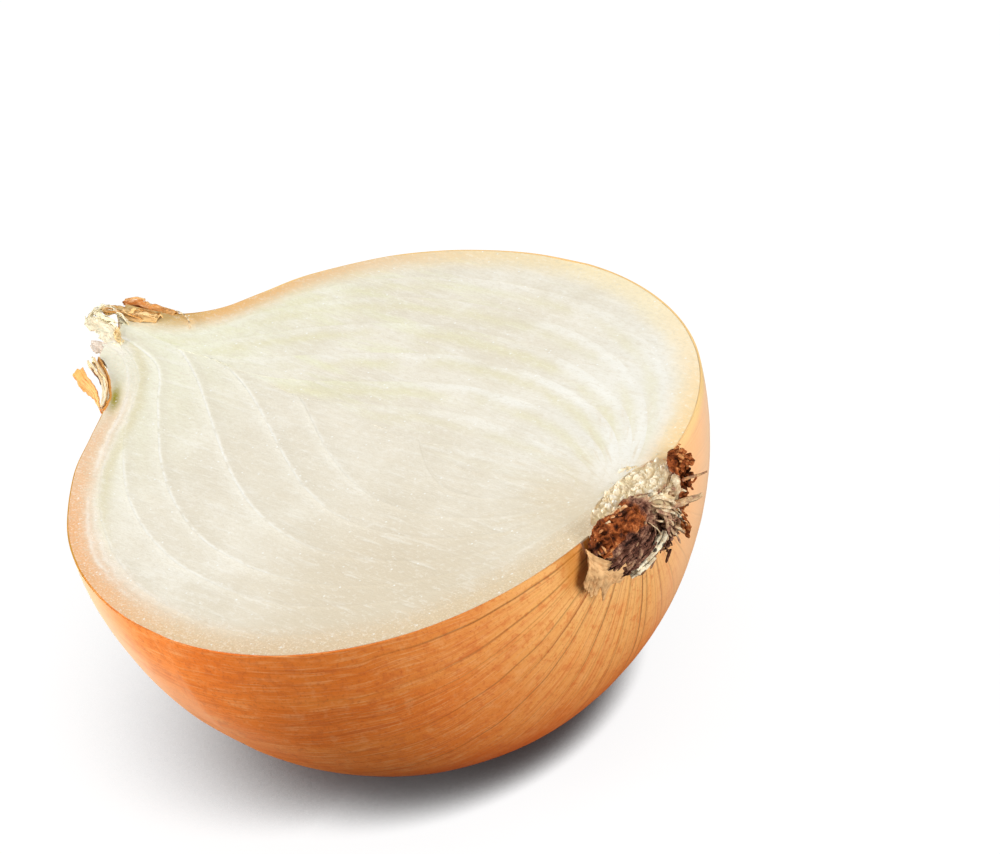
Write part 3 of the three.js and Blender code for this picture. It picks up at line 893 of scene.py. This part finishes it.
def crown_surface(step, turn):
    """A point of the crown's smooth pad. turn runs from the near side down and round."""
    share = np.asarray(step, float) * (CROWN_STEPS - 1)
    radius, x = np.moveaxis(sample(crown_line, np.arange(CROWN_STEPS), share), -1, 0)
    y = -radius * np.cos(turn)
    down = 0.9 * radius * np.sin(turn)
    ends = 0.05 + 0.1 * step_up(np.abs(y - 1.5), 3.5, 7.5)
    z = np.where(down > 0, -down, -down * ends)
    tilted_x = CROWN_X + (x - CROWN_X) * math.cos(CROWN_TILT) - y * math.sin(CROWN_TILT)
    tilted_y = CROWN_Y + (x - CROWN_X) * math.sin(CROWN_TILT) + y * math.cos(CROWN_TILT)
    return np.stack([tilted_x, tilted_y, FACE + z], -1)


GREYS = [(0, 34, 16, 10), (0.22, 104, 64, 50), (0.45, 164, 122, 98), (0.68, 202, 172, 132)]
GREYS += [(1, 244, 232, 202)]
RUSTS = [(0, 44, 18, 6), (0.22, 112, 52, 18), (0.45, 168, 90, 44), (0.68, 222, 156, 96)]
RUSTS += [(1, 248, 224, 180)]


def crown_finish():
    """Cork and dry root. One layer runs from dark to pale, and the other from grey to rust."""
    f = Finish("corky_root_brown", 0.8, 0.12)
    shade = f.layer("shade")
    rust = f.layer("rust")
    grain = f.noise(0.28, 3, 0.7)
    flecks = f.noise(1.1, 3, 0.6)
    level = shade + (grain - 0.5) * 0.8 + (flecks - 0.5) * 1.1
    f.colour = f.ramp(level, GREYS)
    f.coat((rust + (flecks - 0.5) * 1.4).rise(0.2, 0.8), f.ramp(level, RUSTS))
    specks = f.cells(1.1).rise(0.36, 0.26) * shade.rise(0.85, 0.95)
    f.coat(specks * 0.9, 52, 40, 36)
    relief = grain * 0.12 + flecks * 0.15
    return f.finish(relief, grain.rise(0.3, 0.7, 0.55, 0.9))


crown_material = crown_finish()
around = np.linspace(0, 2 * math.pi, CROWN_AROUND, endpoint=False)
crown = crown_surface(np.linspace(0, 1, CROWN_STEPS)[:, None], around)
crown_out = grid_normals(np.concatenate([crown, crown[:, :1]], 1))[:, :-1]
crown_out *= np.sign(((crown - CROWN_HEART) * crown_out).sum(-1, keepdims=True))
coarse = lumps(crown, 2.6, 2)
torn = 1 - 2 * np.abs(lumps(crown, 1.1, 2, 7.0))
crown = crown + crown_out * (0.65 * coarse + 0.5 * torn)[..., None]
limit = np.interp(crown[..., 1], *np.transpose(CROWN_LIMIT)) + 0.25 * lumps(crown, 0.8)
crown_rise = crown[..., 2] - FACE
at_face = step_up(crown_rise, -3, -0.6)
crown[..., 0] += at_face * np.maximum(limit - crown[..., 0], 0)
crown_y = crown[..., 1]
rust_top = step_up(crown_rise + 0.8 * coarse, -2, -0.6) * step_up(crown_y, 3, 1) * 0.8
crown_rust = np.clip(rust_top + step_up(crown_y, 8.5, 10.5), 0, 1)
pale_top = 0.4 * at_face * step_up(crown_y, 2, 4.5) * step_up(crown_y, 10, 8.5)
# Darker in the hollows of the lumps and lighter on their ridges, as painted shade, besides the rust's
# tone and the paler cork by the face.
crown_tone_and_painted_shade = 0.12 + 0.16 * torn + 0.16 * coarse + 0.1 * crown_rust + pale_top
crown_layers = {"shade": crown_tone_and_painted_shade, "rust": crown_rust}
crown_faces = grid_faces(CROWN_STEPS, CROWN_AROUND, closed=True, flip=True)
root_crown = mesh_piece("root_crown_cork", crown, crown_faces, crown_material, crown_layers)
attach(root_crown, "root")
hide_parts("root_crown")

CORD_SIDES = 7


def cord(path, radii, shade, rust, flat):
    """The points, faces and layers of a cord along a path, with a radius at each point."""
    tangent = unit(np.gradient(path, axis=0))
    side = unit(np.cross(tangent[0], [0.31, 0.27, 0.91]))
    turn = np.linspace(0, 2 * math.pi, CORD_SIDES, endpoint=False)
    rings = []
    for at, along, radius in zip(path, tangent, radii):
        side = unit(side - along * (side @ along))
        other = np.cross(along, side) * flat
        rings.append(at + radius * (np.cos(turn)[:, None] * side + np.sin(turn)[:, None] * other))
    faces = grid_faces(len(path), CORD_SIDES, closed=True)
    faces.append(list(range(CORD_SIDES))[::-1])
    faces.append([(len(path) - 1) * CORD_SIDES + j for j in range(CORD_SIDES)])
    shades = np.repeat(shade, CORD_SIDES)
    return np.concatenate(rings), faces, {"shade": shades, "rust": np.full(len(shades), rust)}


def stretch(rng, line, reach, t):
    """Points at the shares t along a randomly chosen stretch of a line."""
    length = rng.uniform(*reach)
    at = rng.uniform(0, 1 - length) + length * t
    return sample(line, np.linspace(0, 1, len(line)), at)


TUFT_TOP = 1.1
TUFT_STEPS = 18
GUIDE_STEPS = 60


def over_face(line, count):
    """The smooth curve through (x, y, rise above the cut face) points."""
    return smooth_path([(x, y, FACE + rise) for x, y, rise in line], count)


def tuft(seed, guide, count, spread, radii, shades, reach, rust, flat=0.7):
    """Dry strands that lie along a guide line of (x, y, rise above the cut face) points."""
    rng = np.random.default_rng(seed)
    line = over_face(guide, GUIDE_STEPS)
    t = np.linspace(0, 1, TUFT_STEPS)
    cords = []
    for _ in range(count):
        path = stretch(rng, line, reach, t)
        path = path + rng.normal(0, spread, 3) + rng.normal(0, spread, 3) * (t - 0.5)[:, None]
        sway = [lumps(path, 1.2, shift=rng.uniform(0, 50)) for _ in range(3)]
        path = path + 0.3 * np.stack(sway, -1)
        path[:, 2] = np.minimum(path[:, 2], FACE + TUFT_TOP)
        taper = np.minimum(1, 4 * np.minimum(t + 0.08, 1.12 - t))
        width = rng.uniform(*radii) * taper * (1 + 0.3 * lumps(path, 0.9, 1, rng.uniform(0, 50)))
        shade = rng.uniform(*shades) + 0.12 * lumps(path, 0.7, 1, rng.uniform(0, 50))
        width = np.clip(width, 0.05, None)
        cords.append(cord(path, width, shade, rust, flat * rng.uniform(0.7, 1.2)))
    return cords


RIM_LIP = [(39.2, -6.3, 0.3), (38.8, -4, 0.6), (38.7, -1.5, 0.65), (38.6, 1.6, 0.6)]
RUST_ROLL = [(39.6, -5.9, -0.6), (39.8, -3.5, 0.1), (39.9, -1, 0.3), (40.2, 1.6, 0.2)]
RUST_TOP = [(39.6, -5.6, 0), (39.4, -3.6, 0.7), (39.5, -1, 0.8), (39.8, 1.2, 0.6)]
RUST_SIDE = [(40.2, -5.6, -0.6), (40.6, -5.3, -1.6), (41, -4.3, -2)]
PURPLE = [(41.7, 0.6, -1.6), (41.5, -1.6, -2.4), (41, -3.6, -3.2), (40.4, -5.4, -3.6)]
PURPLE_LOW = [(41.7, 2.4, -3), (41.5, 0, -4), (41, -2, -4.8), (40.4, -3.6, -5.4)]
MAUVE = [(42, 3, -0.4), (42.2, 4.4, -2), (42.1, 5.2, -4.2), (41.6, 5.8, -6.4)]
INNER_LIP = [(38.7, 2, 0.3), (39.4, 2.8, 0.4), (40.4, 3.6, 0.5), (41.4, 4.8, 0.4)]
PALE_CURL = [(40.9, 3.2, 0.3), (41.8, 4.4, 0.5), (42.3, 5.8, -0.6), (42.3, 6.9, -2.5)]
PALE_CURL += [(42, 7.8, -4.2)]
PALE_STRIP = [(42.1, 3.8, -4.2), (42, 2.2, -5.4), (41.8, 0.4, -6.2), (41.4, -1.4, -6.6)]
PALE_STRIP += [(41.1, -2.3, -7)]
RUST_RIGHT = [(41.4, 7.4, -4.6), (41.1, 8.4, -6.6), (40.5, 9.2, -8.6)]
FRINGE = [(41, 4.6, -7.4), (40.6, 5, -8.8)]
HOOK = [(41, 8.9, 0.5), (41.9, 8.4, 0.9), (42.5, 7.6, 0.4), (42.3, 7, -0.8)]
HOOK_ARM = [(41.6, 6, 0.3), (42.2, 6.6, 0.1), (42.6, 7.6, -0.6)]
FAR_TOP = [(38, 12.9, 0.3), (39.4, 12.9, 0.5), (40.8, 11.6, 0.2)]
FAR_SIDE = [(40, 12.4, -0.6), (40.4, 11.6, -1.8), (40.6, 11, -3)]
# Each tuft: seed, guide line, number of strands, how far they stray, their radii, their shades,
# their lengths as shares of the guide's, how rusty they are, and how flat.
TUFTS = [
    (1, RIM_LIP, 5, 0.12, (0.16, 0.28), (0.7, 0.95), (0.3, 0.7), 0.7, 0.7),
    (2, RUST_ROLL, 44, 0.4, (0.12, 0.3), (0, 0.5), (0.12, 0.4), 0.7, 0.7),
    (16, RUST_TOP, 26, 0.22, (0.14, 0.28), (0.5, 0.9), (0.1, 0.3), 0.8, 0.7),
    (3, PURPLE, 40, 0.5, (0.14, 0.32), (0.08, 0.36), (0.2, 0.7), 0.2, 0.7),
    (4, PURPLE_LOW, 34, 0.55, (0.14, 0.3), (0.05, 0.34), (0.2, 0.7), 0.1, 0.7),
    (5, RUST_SIDE, 8, 0.2, (0.2, 0.32), (0.42, 0.6), (0.4, 0.9), 1, 0.7),
    (6, MAUVE, 56, 0.65, (0.14, 0.36), (0.34, 0.74), (0.15, 0.5), 0, 0.7),
    (7, PALE_CURL, 3, 0.12, (0.22, 0.34), (0.75, 0.9), (0.7, 0.98), 0.2, 0.5),
    (15, INNER_LIP, 12, 0.22, (0.16, 0.3), (0.6, 0.88), (0.3, 0.7), 0.3, 0.7),
    (8, PALE_STRIP, 7, 0.22, (0.2, 0.36), (0.85, 1), (0.5, 0.95), 0, 0.4),
    (17, PALE_STRIP[2:], 7, 0.3, (0.24, 0.4), (0.88, 1), (0.4, 0.8), 0, 0.4),
    (9, RUST_RIGHT, 18, 0.4, (0.18, 0.4), (0.38, 0.62), (0.3, 0.8), 0.9, 0.5),
    (10, FRINGE, 10, 0.5, (0.12, 0.24), (0.15, 0.4), (0.4, 0.9), 0.3, 0.7),
    (11, HOOK, 2, 0.08, (0.34, 0.44), (0.68, 0.8), (0.9, 0.98), 0.1, 0.8),
    (12, HOOK_ARM, 5, 0.22, (0.2, 0.34), (0.5, 0.7), (0.4, 0.9), 0.1, 0.7),
    (13, FAR_TOP, 46, 0.5, (0.16, 0.34), (0.25, 0.7), (0.08, 0.25), 1, 0.7),
    (14, FAR_SIDE, 26, 0.4, (0.16, 0.32), (0.05, 0.4), (0.1, 0.35), 0.9, 0.7),
]
strands = []
for tuft_values in TUFTS:
    strands += tuft(*tuft_values)
for i, turn in enumerate(np.linspace(0.5, 2.7, 12)):
    guide = crown_surface(np.linspace(0.88, 0.34, 5), turn) + [0.35, 0, -FACE]
    rust = 0.9 if i > 8 else 0.25
    strands += tuft(20 + i, guide, 8, 0.5, (0.12, 0.28), (0.1, 0.5), (0.2, 0.5), rust)
crown_bristle = joined_piece("root_crown_strands", strands, crown_material)
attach(crown_bristle, "root")

# ---------------------------------------------------------------- dried roots
# The few old roots that are still whole: thin shrivelled cords, hollow and stiff, that grew
# from the crown. Two stubs and a hook stand off it, and the others are pressed along it.

ROOT_STEPS = 30
ROOT_FLATNESS = 0.65
# Each root: radius, shade, how rusty it is, and its line of (x, y, rise above the cut face).
ROOTS = [
    (0.26, 0.55, 0.4, [(41.2, 10, -0.9), (42.5, 11.2, -0.7), (43.6, 12.3, -0.4)]),
    (0.62, 0.68, 0.35, [(42, 6.7, -2.2), (43.3, 8.3, -2.2), (44.5, 9.7, -1.9)]),
    (0.34, 0.74, 0.1, [(42, 7, -0.8), (42.5, 8.1, -0.7), (42.3, 9, -1.6)]),
    (0.4, 0.9, 0.2, [(42.3, 4, -1), (42.3, 5.4, -2.1), (42.1, 6.6, -3.6), (41.6, 8.2, -5.9)]),
    (0.36, 0.98, 0, [(42.3, 4.2, -4.4), (42.3, 2.8, -5.4), (42.2, 0.4, -5.9), (41.9, -2.1, -6.2)]),
    (0.3, 0.94, 0, [(42.1, 1.2, -6.6), (41.9, -0.8, -6.9), (41.4, -2.8, -7.1)]),
    (0.28, 0.3, 0.3, [(42.3, -1.6, -2.6), (42, -3.6, -3.3), (41.4, -5.4, -4)]),
    (0.3, 0.42, 1, [(41.6, -2.4, -0.6), (41.4, -4.2, -1), (40.9, -5.9, -1.7)]),
    (0.34, 0.4, 0.9, [(41.2, 9, -6.9), (40.9, 9.4, -8.3), (40.4, 9.3, -9.6)]),
]
for i, (radius, shade, rust, spine) in enumerate(ROOTS):
    path = over_face(spine, ROOT_STEPS)
    path = path + 0.12 * np.stack([lumps(path, 1.1, shift=9.0 * k + i) for k in range(3)], -1)
    t = np.linspace(0, 1, ROOT_STEPS)
    radii = radius * (1.15 - 0.65 * t**1.5) * (1 + 0.2 * lumps(path, 1.0, 2, 3.0 * i))
    shades = shade + 0.12 * lumps(path, 0.8, 2, 5.0 * i) - 0.2 * step_up(t, 0.3, 0)
    parts = [cord(path, radii, shades, rust, ROOT_FLATNESS)]
    root = joined_piece(f"dried_root_{i + 1}", parts, crown_material)
    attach(root, "root")
    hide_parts(f"root_{i + 1}")

# ---------------------------------------------------------------- root flap
# A tongue of dry skin torn loose where the roots broke off. It is thin, stiff and speckled, and
# it stands a little off the bulb beside the crown.

SHEET_GRID = (56, 20)


def sheet_over(lines, thickness, wrinkle, seed, tone=0, shift=0, ragged=0, torn=0, grid=SHEET_GRID):
    """A thin sheet laid over a few lines of (x, y, rise) points: its points, faces and a layer
    of (length, width, tone). ragged tears its last long edge, and torn tears its far end."""
    rows, columns = grid
    edges = [over_face(line, rows) for line in lines]
    sheet = np.stack([smooth_path(across, columns) for across in np.stack(edges, 1)])
    t = np.linspace(0, 1, rows)[:, None] + np.zeros((1, columns))
    w = np.linspace(0, 1, columns)[None, :] + 0 * t
    lengthways = unit(np.gradient(sheet, axis=0))
    sideways = sheet[:, -1:] - sheet[:, :1]
    end_tear = torn * lumps(np.stack([0 * w + seed, w * 7, 0 * w], -1), 1.2, 3)
    edge_tear = ragged * lumps(np.stack([t * 9, 0 * t + seed, 0 * t], -1), 1.2, 3)
    sheet = sheet + lengthways * (end_tear * step_up(t, 0.4, 1))[..., None]
    sheet = sheet + sideways * (edge_tear * w**2)[..., None]
    normal = grid_normals(sheet)
    sheet = sheet + normal * (wrinkle * lumps(sheet * [1, 1.5, 1.5], 1.4, 2, seed))[..., None]
    normal = grid_normals(sheet) * thickness / 2
    points, faces = thick_sheet(sheet + normal, sheet - normal)
    lie = np.stack([t, w, tone + shift * t], -1).reshape(-1, 3)
    return points, faces, {"sheet": np.concatenate([lie, lie])}


def paper_finish(name, stops, speck, streak, share):
    """Dry paper: the tone of each sheet picks its colour, with fibres along it and specks."""
    f = Finish(name, 0.5, 0.15)
    length, width, tone = f.split(f.layer("sheet", vector=True))
    lie = f.join(length * 1.2, width * 9, tone * 7)
    fibres = f.noise(0.6, 4, 0.65, at=lie)
    grain = f.noise(0.4, 3, 0.6)
    f.colour = f.ramp(tone + (grain - 0.5) * 0.3, stops)
    f.coat(fibres.rise(0.46, 0.7, 0, share), *streak)
    specks = f.cells(0.7).rise(0.22, 0.1) * grain.rise(0.52, 0.62)
    f.coat(specks * 0.7, *speck)
    return f.finish(fibres * 0.1 + grain * 0.05, fibres.rise(0.3, 0.7, 0.42, 0.62))


FLAP_TOP = [(38.9, -6.7, -0.3), (39.9, -6.2, -1.5), (40.8, -4.9, -3), (41.3, -3.1, -4.3)]
FLAP_MIDDLE = [(39.5, -7.5, -2.3), (40.1, -6.9, -3.8), (40.7, -5.4, -5), (41.1, -3.6, -5.6)]
FLAP_LOW = [(38.8, -8.3, -4.5), (39.1, -7.5, -6), (39.7, -5.8, -7), (40.5, -3.6, -7)]
flap_material = paper_finish(
    "torn_skin_tongue",
    [(0, 204, 150, 94), (0.4, 236, 188, 132), (1, 226, 168, 110)],
    (98, 60, 40),
    (186, 120, 66),
    0.7,
)
flap = sheet_over([FLAP_TOP, FLAP_MIDDLE, FLAP_LOW], 0.24, 0.22, 3.0, 0.3, 0.2, 0.5, 0.6)
root_flap = joined_piece("root_flap_skin", [flap], flap_material)
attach(root_flap, "root")
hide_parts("root_flap")

# ---------------------------------------------------------------- neck papers
# Where the leaves dried back to the neck their bases are thin papers. Two are rolled along the
# far side, two frayed scraps stand past the end, and three have peeled off the near side.

RIBBON_GRID = (24, 6)


def level(rise, *points):
    """A line of points that all stand at one height over the cut face."""
    return [(x, y, rise) for x, y in points]


def lowered(line, drop, out=0.0):
    """The same line further down, and out from the middle by the given distance."""
    return [(x, y + out * (1 if y > 0 else -1), rise - drop) for x, y, rise in line]


def ribbons(seed, line, count, width, spread, tones, reach=(0.4, 0.95)):
    """Narrow strips of paper that follow parts of a line, each lying its own way."""
    rng = np.random.default_rng(seed)
    line = smooth_path(line, 40)
    strips = []
    for _ in range(count):
        middle = stretch(rng, line, reach, np.linspace(0, 1, 5))
        middle = middle + rng.normal(0, spread, 3) + rng.normal(0, spread * 0.6, (5, 3))
        half = rng.normal(0, 1, 3) * [0.6, 1, 0.8]
        half *= rng.uniform(0.4, 1) * width / 2 / np.linalg.norm(half)
        edges = [middle - half, middle + half]
        tone = rng.uniform(*tones)
        turn = rng.uniform(0, 50)
        strips.append(sheet_over(edges, 0.12, 0.1, turn, tone, 0.1, 0.3, 0.3, RIBBON_GRID))
    return strips


NEAR_RIM = level(0.2, (-43.4, -10.5), (-45.7, -8.5), (-48.2, -6.9), (-50.3, -5.9), (-52.2, -4.7))
NEAR_OUT = level(-0.8, (-44.3, -9.9), (-47.1, -8.2), (-49.6, -7.1), (-51.6, -6.5), (-53.9, -5.2))
NEAR_2 = level(0.3, (-43.3, -10.4), (-44.8, -8.4), (-46.9, -6.4), (-49.4, -4.8), (-52.7, -3.2))
NEAR_3 = level(0.3, (-43.4, -10.1), (-44.6, -8.2), (-46.4, -6.3), (-49.1, -4.3), (-52.7, -2.4))
NEAR_4 = level(0.2, (-42.4, -10.7), (-43.7, -8.1), (-45.9, -5.9), (-48.4, -4), (-51.7, -2))
NEAR_4_OUT = level(-0.5, (-43.3, -10.2), (-44.5, -7.9), (-46.5, -5.9), (-48.9, -4), (-51.9, -2.3))
FAR_RIM = level(0.3, (-48.5, 10.5), (-50.7, 10.5), (-53.2, 10.3), (-55.3, 10.5), (-57.5, 9.2))
FAR_LOW = level(-0.2, (-48.9, 9.8), (-50.9, 9.7), (-53.1, 9.7), (-55.5, 9.9), (-57.7, 9.1))
ROLL_RIM = [(-49.8, 8.7, 0.4)]
ROLL_RIM += level(0.5, (-52.7, 8.6), (-55.4, 8.3), (-57.6, 7.7), (-58.8, 6.4))
ROLL_LOW = level(0.2, (-49.8, 7.5), (-52.7, 6.5), (-54.4, 6.4), (-56.4, 6.8), (-58.6, 6.5))
HOLLOW_FAR = [(-52.6, 6.9, -0.5), (-54.4, 6.9, -0.7), (-56.6, 7, -0.5)]
HOLLOW_NEAR = [(-52.8, 5.1, -0.7), (-54.2, 4.4, -0.9), (-55.7, 5.8, -0.7)]
FRAY_FAR = level(0.1, (-51.2, 2.2), (-53.8, 4.2), (-55.6, 5))
FRAY_FAR += [(-57.4, 4.9, 0.2), (-59.6, 4.9, 0.3)]
FRAY_NEAR = [(-50.8, 1.3, 0), (-54.1, 1.4, 0), (-56.2, 2.2, 0.1), (-58.2, 2.4, 0.2), (-60, 3.9, 0.3)]
FRAY_TOP = [(-53.2, 5.6, 0.2), (-56.2, 6.9, 0.4), (-58.6, 7.1, 0.5), (-60, 6.2, 0.4)]
FRAY_MIDDLE = [(-54.5, 4.8, 0.3), (-57, 5.2, 0.4), (-59.6, 5.4, 0.4)]
FRAY_ROOT = [(-51, 1.6, 0.1), (-52.6, 2.6, 0.1), (-54.4, 4.2, 0.2)]
FRAY_END = [(-59.3, 6.9, 0.4), (-60.2, 5.4, 0.3), (-60, 3.9, 0.2)]
SMALL_FAR = [(-52, 0.9, -0.1), (-53.9, 1.1, 0), (-55.9, 0.7, 0.1)]
SMALL_NEAR = [(-51.8, -0.2, -0.3), (-53.1, -0.9, -0.3), (-54.8, -0.5, -0.2)]
THREAD = [(-48.6, 10.6, 0.3), *level(0.4, (-47.4, 10.4), (-46, 10), (-44.9, 9.3))]
THREAD += [(-43.9, 8.4, 0.3)]
THREAD_STEPS = 24

BURNT = [(0, 254, 208, 138), (0.4, 240, 164, 86), (0.8, 204, 116, 48), (1, 84, 42, 24)]
AMBER = [(0, 250, 226, 176), (0.4, 238, 192, 122), (0.7, 214, 146, 70), (1, 186, 128, 56)]
PALE = [(0, 255, 250, 226), (0.5, 254, 242, 202), (0.8, 248, 218, 156), (1, 238, 178, 104)]
GREY = [(0, 226, 206, 184), (1, 236, 224, 210)]
CREAM = [(0, 255, 244, 212), (0.5, 252, 220, 166), (1, 226, 160, 90)]
far_lines = [FAR_LOW, FAR_RIM, lowered(FAR_RIM, 2.4, 0.5)]
far_outer = [sheet_over(far_lines, 0.22, 0.2, 21, 0.15, 0.7, 0, 0.3)]
far_outer += ribbons(31, FAR_RIM, 5, 0.5, 0.12, (0, 0.3), (0.3, 0.6))
roll_lines = [ROLL_LOW, ROLL_RIM, lowered(ROLL_RIM, 1.2, 0.3)]
roll = [sheet_over(roll_lines, 0.2, 0.3, 22, 0.3, 0, 0.2, 0.4)]
# The dark amber sheet in the neck's hollow is the dry inner layer there, darkened as painted shade of
# the hollow.
roll += [sheet_over([HOLLOW_FAR, HOLLOW_NEAR], 0.3, 0.1, 23, 0.95)]
roll += ribbons(32, (np.array(ROLL_RIM) + ROLL_LOW) / 2, 16, 0.6, 0.32, (0, 0.8))
fray = [sheet_over([FRAY_FAR, FRAY_NEAR], 0.16, 0.25, 24, 0.1, 0.2, 0.25, 0.9)]
fray += ribbons(33, FRAY_TOP, 12, 0.5, 0.22, (0, 0.7))
fray += ribbons(34, FRAY_MIDDLE, 8, 0.5, 0.25, (0, 0.5))
fray += ribbons(35, FRAY_END, 6, 0.4, 0.15, (0, 0.5))
fray += ribbons(36, FRAY_ROOT, 6, 0.6, 0.2, (0.5, 1))
small = [sheet_over([SMALL_FAR, SMALL_NEAR], 0.16, 0.2, 25, 0.2, 0.6, 0.3, 0.5)]
inner_lines = [NEAR_4, NEAR_4_OUT, lowered(NEAR_4_OUT, 1.2)]
near_inner = [sheet_over(inner_lines, 0.26, 0.12, 26, 0.75, -0.15, 0, 0.4)]
near_middle = [sheet_over([NEAR_2, lowered(NEAR_2, 1.3)], 0.28, 0.12, 27, 0.25, 0.1, 0.1, 0.5)]
near_middle += [sheet_over([NEAR_3, lowered(NEAR_3, 1.3)], 0.3, 0.12, 28, 0, 0.1, 0.1, 0.6)]
near_middle += ribbons(37, lowered(NEAR_3, 0.3), 7, 0.6, 0.22, (0, 0.6), (0.5, 0.95))
outer_lines = [NEAR_RIM, NEAR_OUT, lowered(NEAR_OUT, 1.4, -0.3)]
near_outer = [sheet_over(outer_lines, 0.22, 0.16, 29, 0.15, 0.2, 0.2, 0.7)]
BROWN_STREAKS = ((218, 146, 80), 0.4)
NECK_PAPERS = {
    "neck_paper_far_outer": ("neck_paper", far_outer, BURNT, ((252, 216, 164), 0.85)),
    "neck_paper_far_inner": ("neck_paper", roll, AMBER, BROWN_STREAKS),
    "neck_paper_end": ("neck_fray", fray, PALE, BROWN_STREAKS),
    "neck_paper_small": ("neck_fray", small, GREY, BROWN_STREAKS),
    "neck_curl_near_inner": ("neck_paper", near_inner, AMBER, BROWN_STREAKS),
    "neck_curl_near_middle": ("neck_paper", near_middle, CREAM, BROWN_STREAKS),
    "neck_curl_near_outer": ("neck_paper", near_outer, BURNT, ((190, 104, 42), 0.9)),
}
for name, (slot, sheets, stops, (streak, share)) in NECK_PAPERS.items():
    material = paper_finish(f"{name}_dry", stops, (120, 70, 36), streak, share)
    paper = joined_piece(f"{name}_sheet", sheets, material)
    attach(paper, "root")
    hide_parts(name)

thread_line = over_face(THREAD, THREAD_STEPS)
thread_width = 0.12 + 0.03 * lumps(thread_line, 0.8)
thread_shade = 0.9 + 0.1 * lumps(thread_line, 0.9)
thread_cord = cord(thread_line, thread_width, thread_shade, 0.6, 0.6)
thread = joined_piece("neck_thread", [thread_cord], crown_material)
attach(thread, "root")

# ---------------------------------------------------------------- floor, light and camera
# A plain white table under soft light from a large lamp overhead, a low one on each side, and a
# pale room all round. The camera looks down on the near side from beyond the root end.

FLOOR_HALF = 1.5
TABLE_WHITE = 0.12
TABLE_GLOW = 0.91
SHADOW_REACH = 10.6
SHADOW_LEAN_NECK = -0.46
SHADOW_LEAN_ROOT = -0.21
SHADOW_LEAST = 4.0


def floor_finish():
    """White that keeps the onion's shadow, and looks white where no shadow falls."""
    f = Finish("white_table", 0.9, 0)
    f.set("Base Color", (TABLE_WHITE,) * 3 + (1,))
    f.set("Emission Color", (1, 1, 1, 1))
    x = f.split(f.place)[0]
    to_neck = x * SHADOW_LEAN_NECK + SHADOW_REACH
    to_root = x * SHADOW_LEAN_ROOT + SHADOW_REACH
    reach = f.math("MAXIMUM", to_neck, f.math("MAXIMUM", to_root, SHADOW_LEAST)) * MM
    open_sky = f.get("AmbientOcclusion", {"Distance": reach}, "AO", samples=12)
    f.set("Emission Strength", f.seen_directly() * open_sky.rise(0.25, 0.95) * TABLE_GLOW)
    return f.material


corners = FLOOR_HALF / MM * np.array([(-1, -1, 0), (1, -1, 0), (1, 1, 0), (-1, 1, 0)])
floor = mesh_piece("table_top", corners, [[0, 1, 2, 3]], floor_finish())

ROOM_LIGHT = 0.25
world = bpy.data.worlds.new("pale_room")
bpy.context.scene.world = world
world.use_nodes = True
room = Nodes(world.node_tree, "Background")
room.set("Color", (1, 1, 1, 1))
room.set("Strength", room.seen_directly() * (1 - ROOM_LIGHT) + ROOM_LIGHT)

# Each lamp's place and aim are in metres, then come its width in metres and its power in watts.
LAMPS = {
    "overhead_lamp": ((0.15, 0.1, 0.75), (0, 0, 0.03), 0.5, 2.62),
    "left_lamp": ((-0.5, -0.42, 0.12), (0, 0, 0.02), 0.34, 7.0),
    "right_lamp": ((0.62, 0.05, 0.15), (0, 0, 0.02), 0.36, 3.9),
}
for name, (place, aim, width, power) in LAMPS.items():
    light = bpy.data.lights.new(name, "AREA")
    light.size = width
    light.energy = power
    lamp = bpy.data.objects.new(name, light)
    lamp.location = place
    lamp.rotation_euler = (Vector(aim) - Vector(place)).to_track_quat("-Z", "Y").to_euler()
    bpy.context.collection.objects.link(lamp)

CAMERA_AIM = Vector((8.84, 11.39, FACE - 3.16))
CAMERA_DISTANCE = 635.3
CAMERA_TURN = math.radians(48.96)
CAMERA_DIP = math.radians(34.86)
CAMERA_ROLL = math.radians(15.74)
CAMERA_LENS = 175.9
facing = Matrix.Rotation(CAMERA_TURN, 4, "Z") @ Matrix.Rotation(math.pi / 2 - CAMERA_DIP, 4, "X")
facing = facing @ Matrix.Rotation(-CAMERA_ROLL, 4, "Z")
stand = (CAMERA_AIM + facing @ Vector((0, 0, CAMERA_DISTANCE))) * MM
camera = bpy.data.objects.new("camera", bpy.data.cameras.new("camera"))
camera.data.lens = CAMERA_LENS
camera.data.clip_start = 0.01
camera.matrix_world = Matrix.Translation(stand) @ facing
bpy.context.collection.objects.link(camera)
bpy.context.scene.camera = camera
bpy.context.scene.view_settings.view_transform = "Standard"
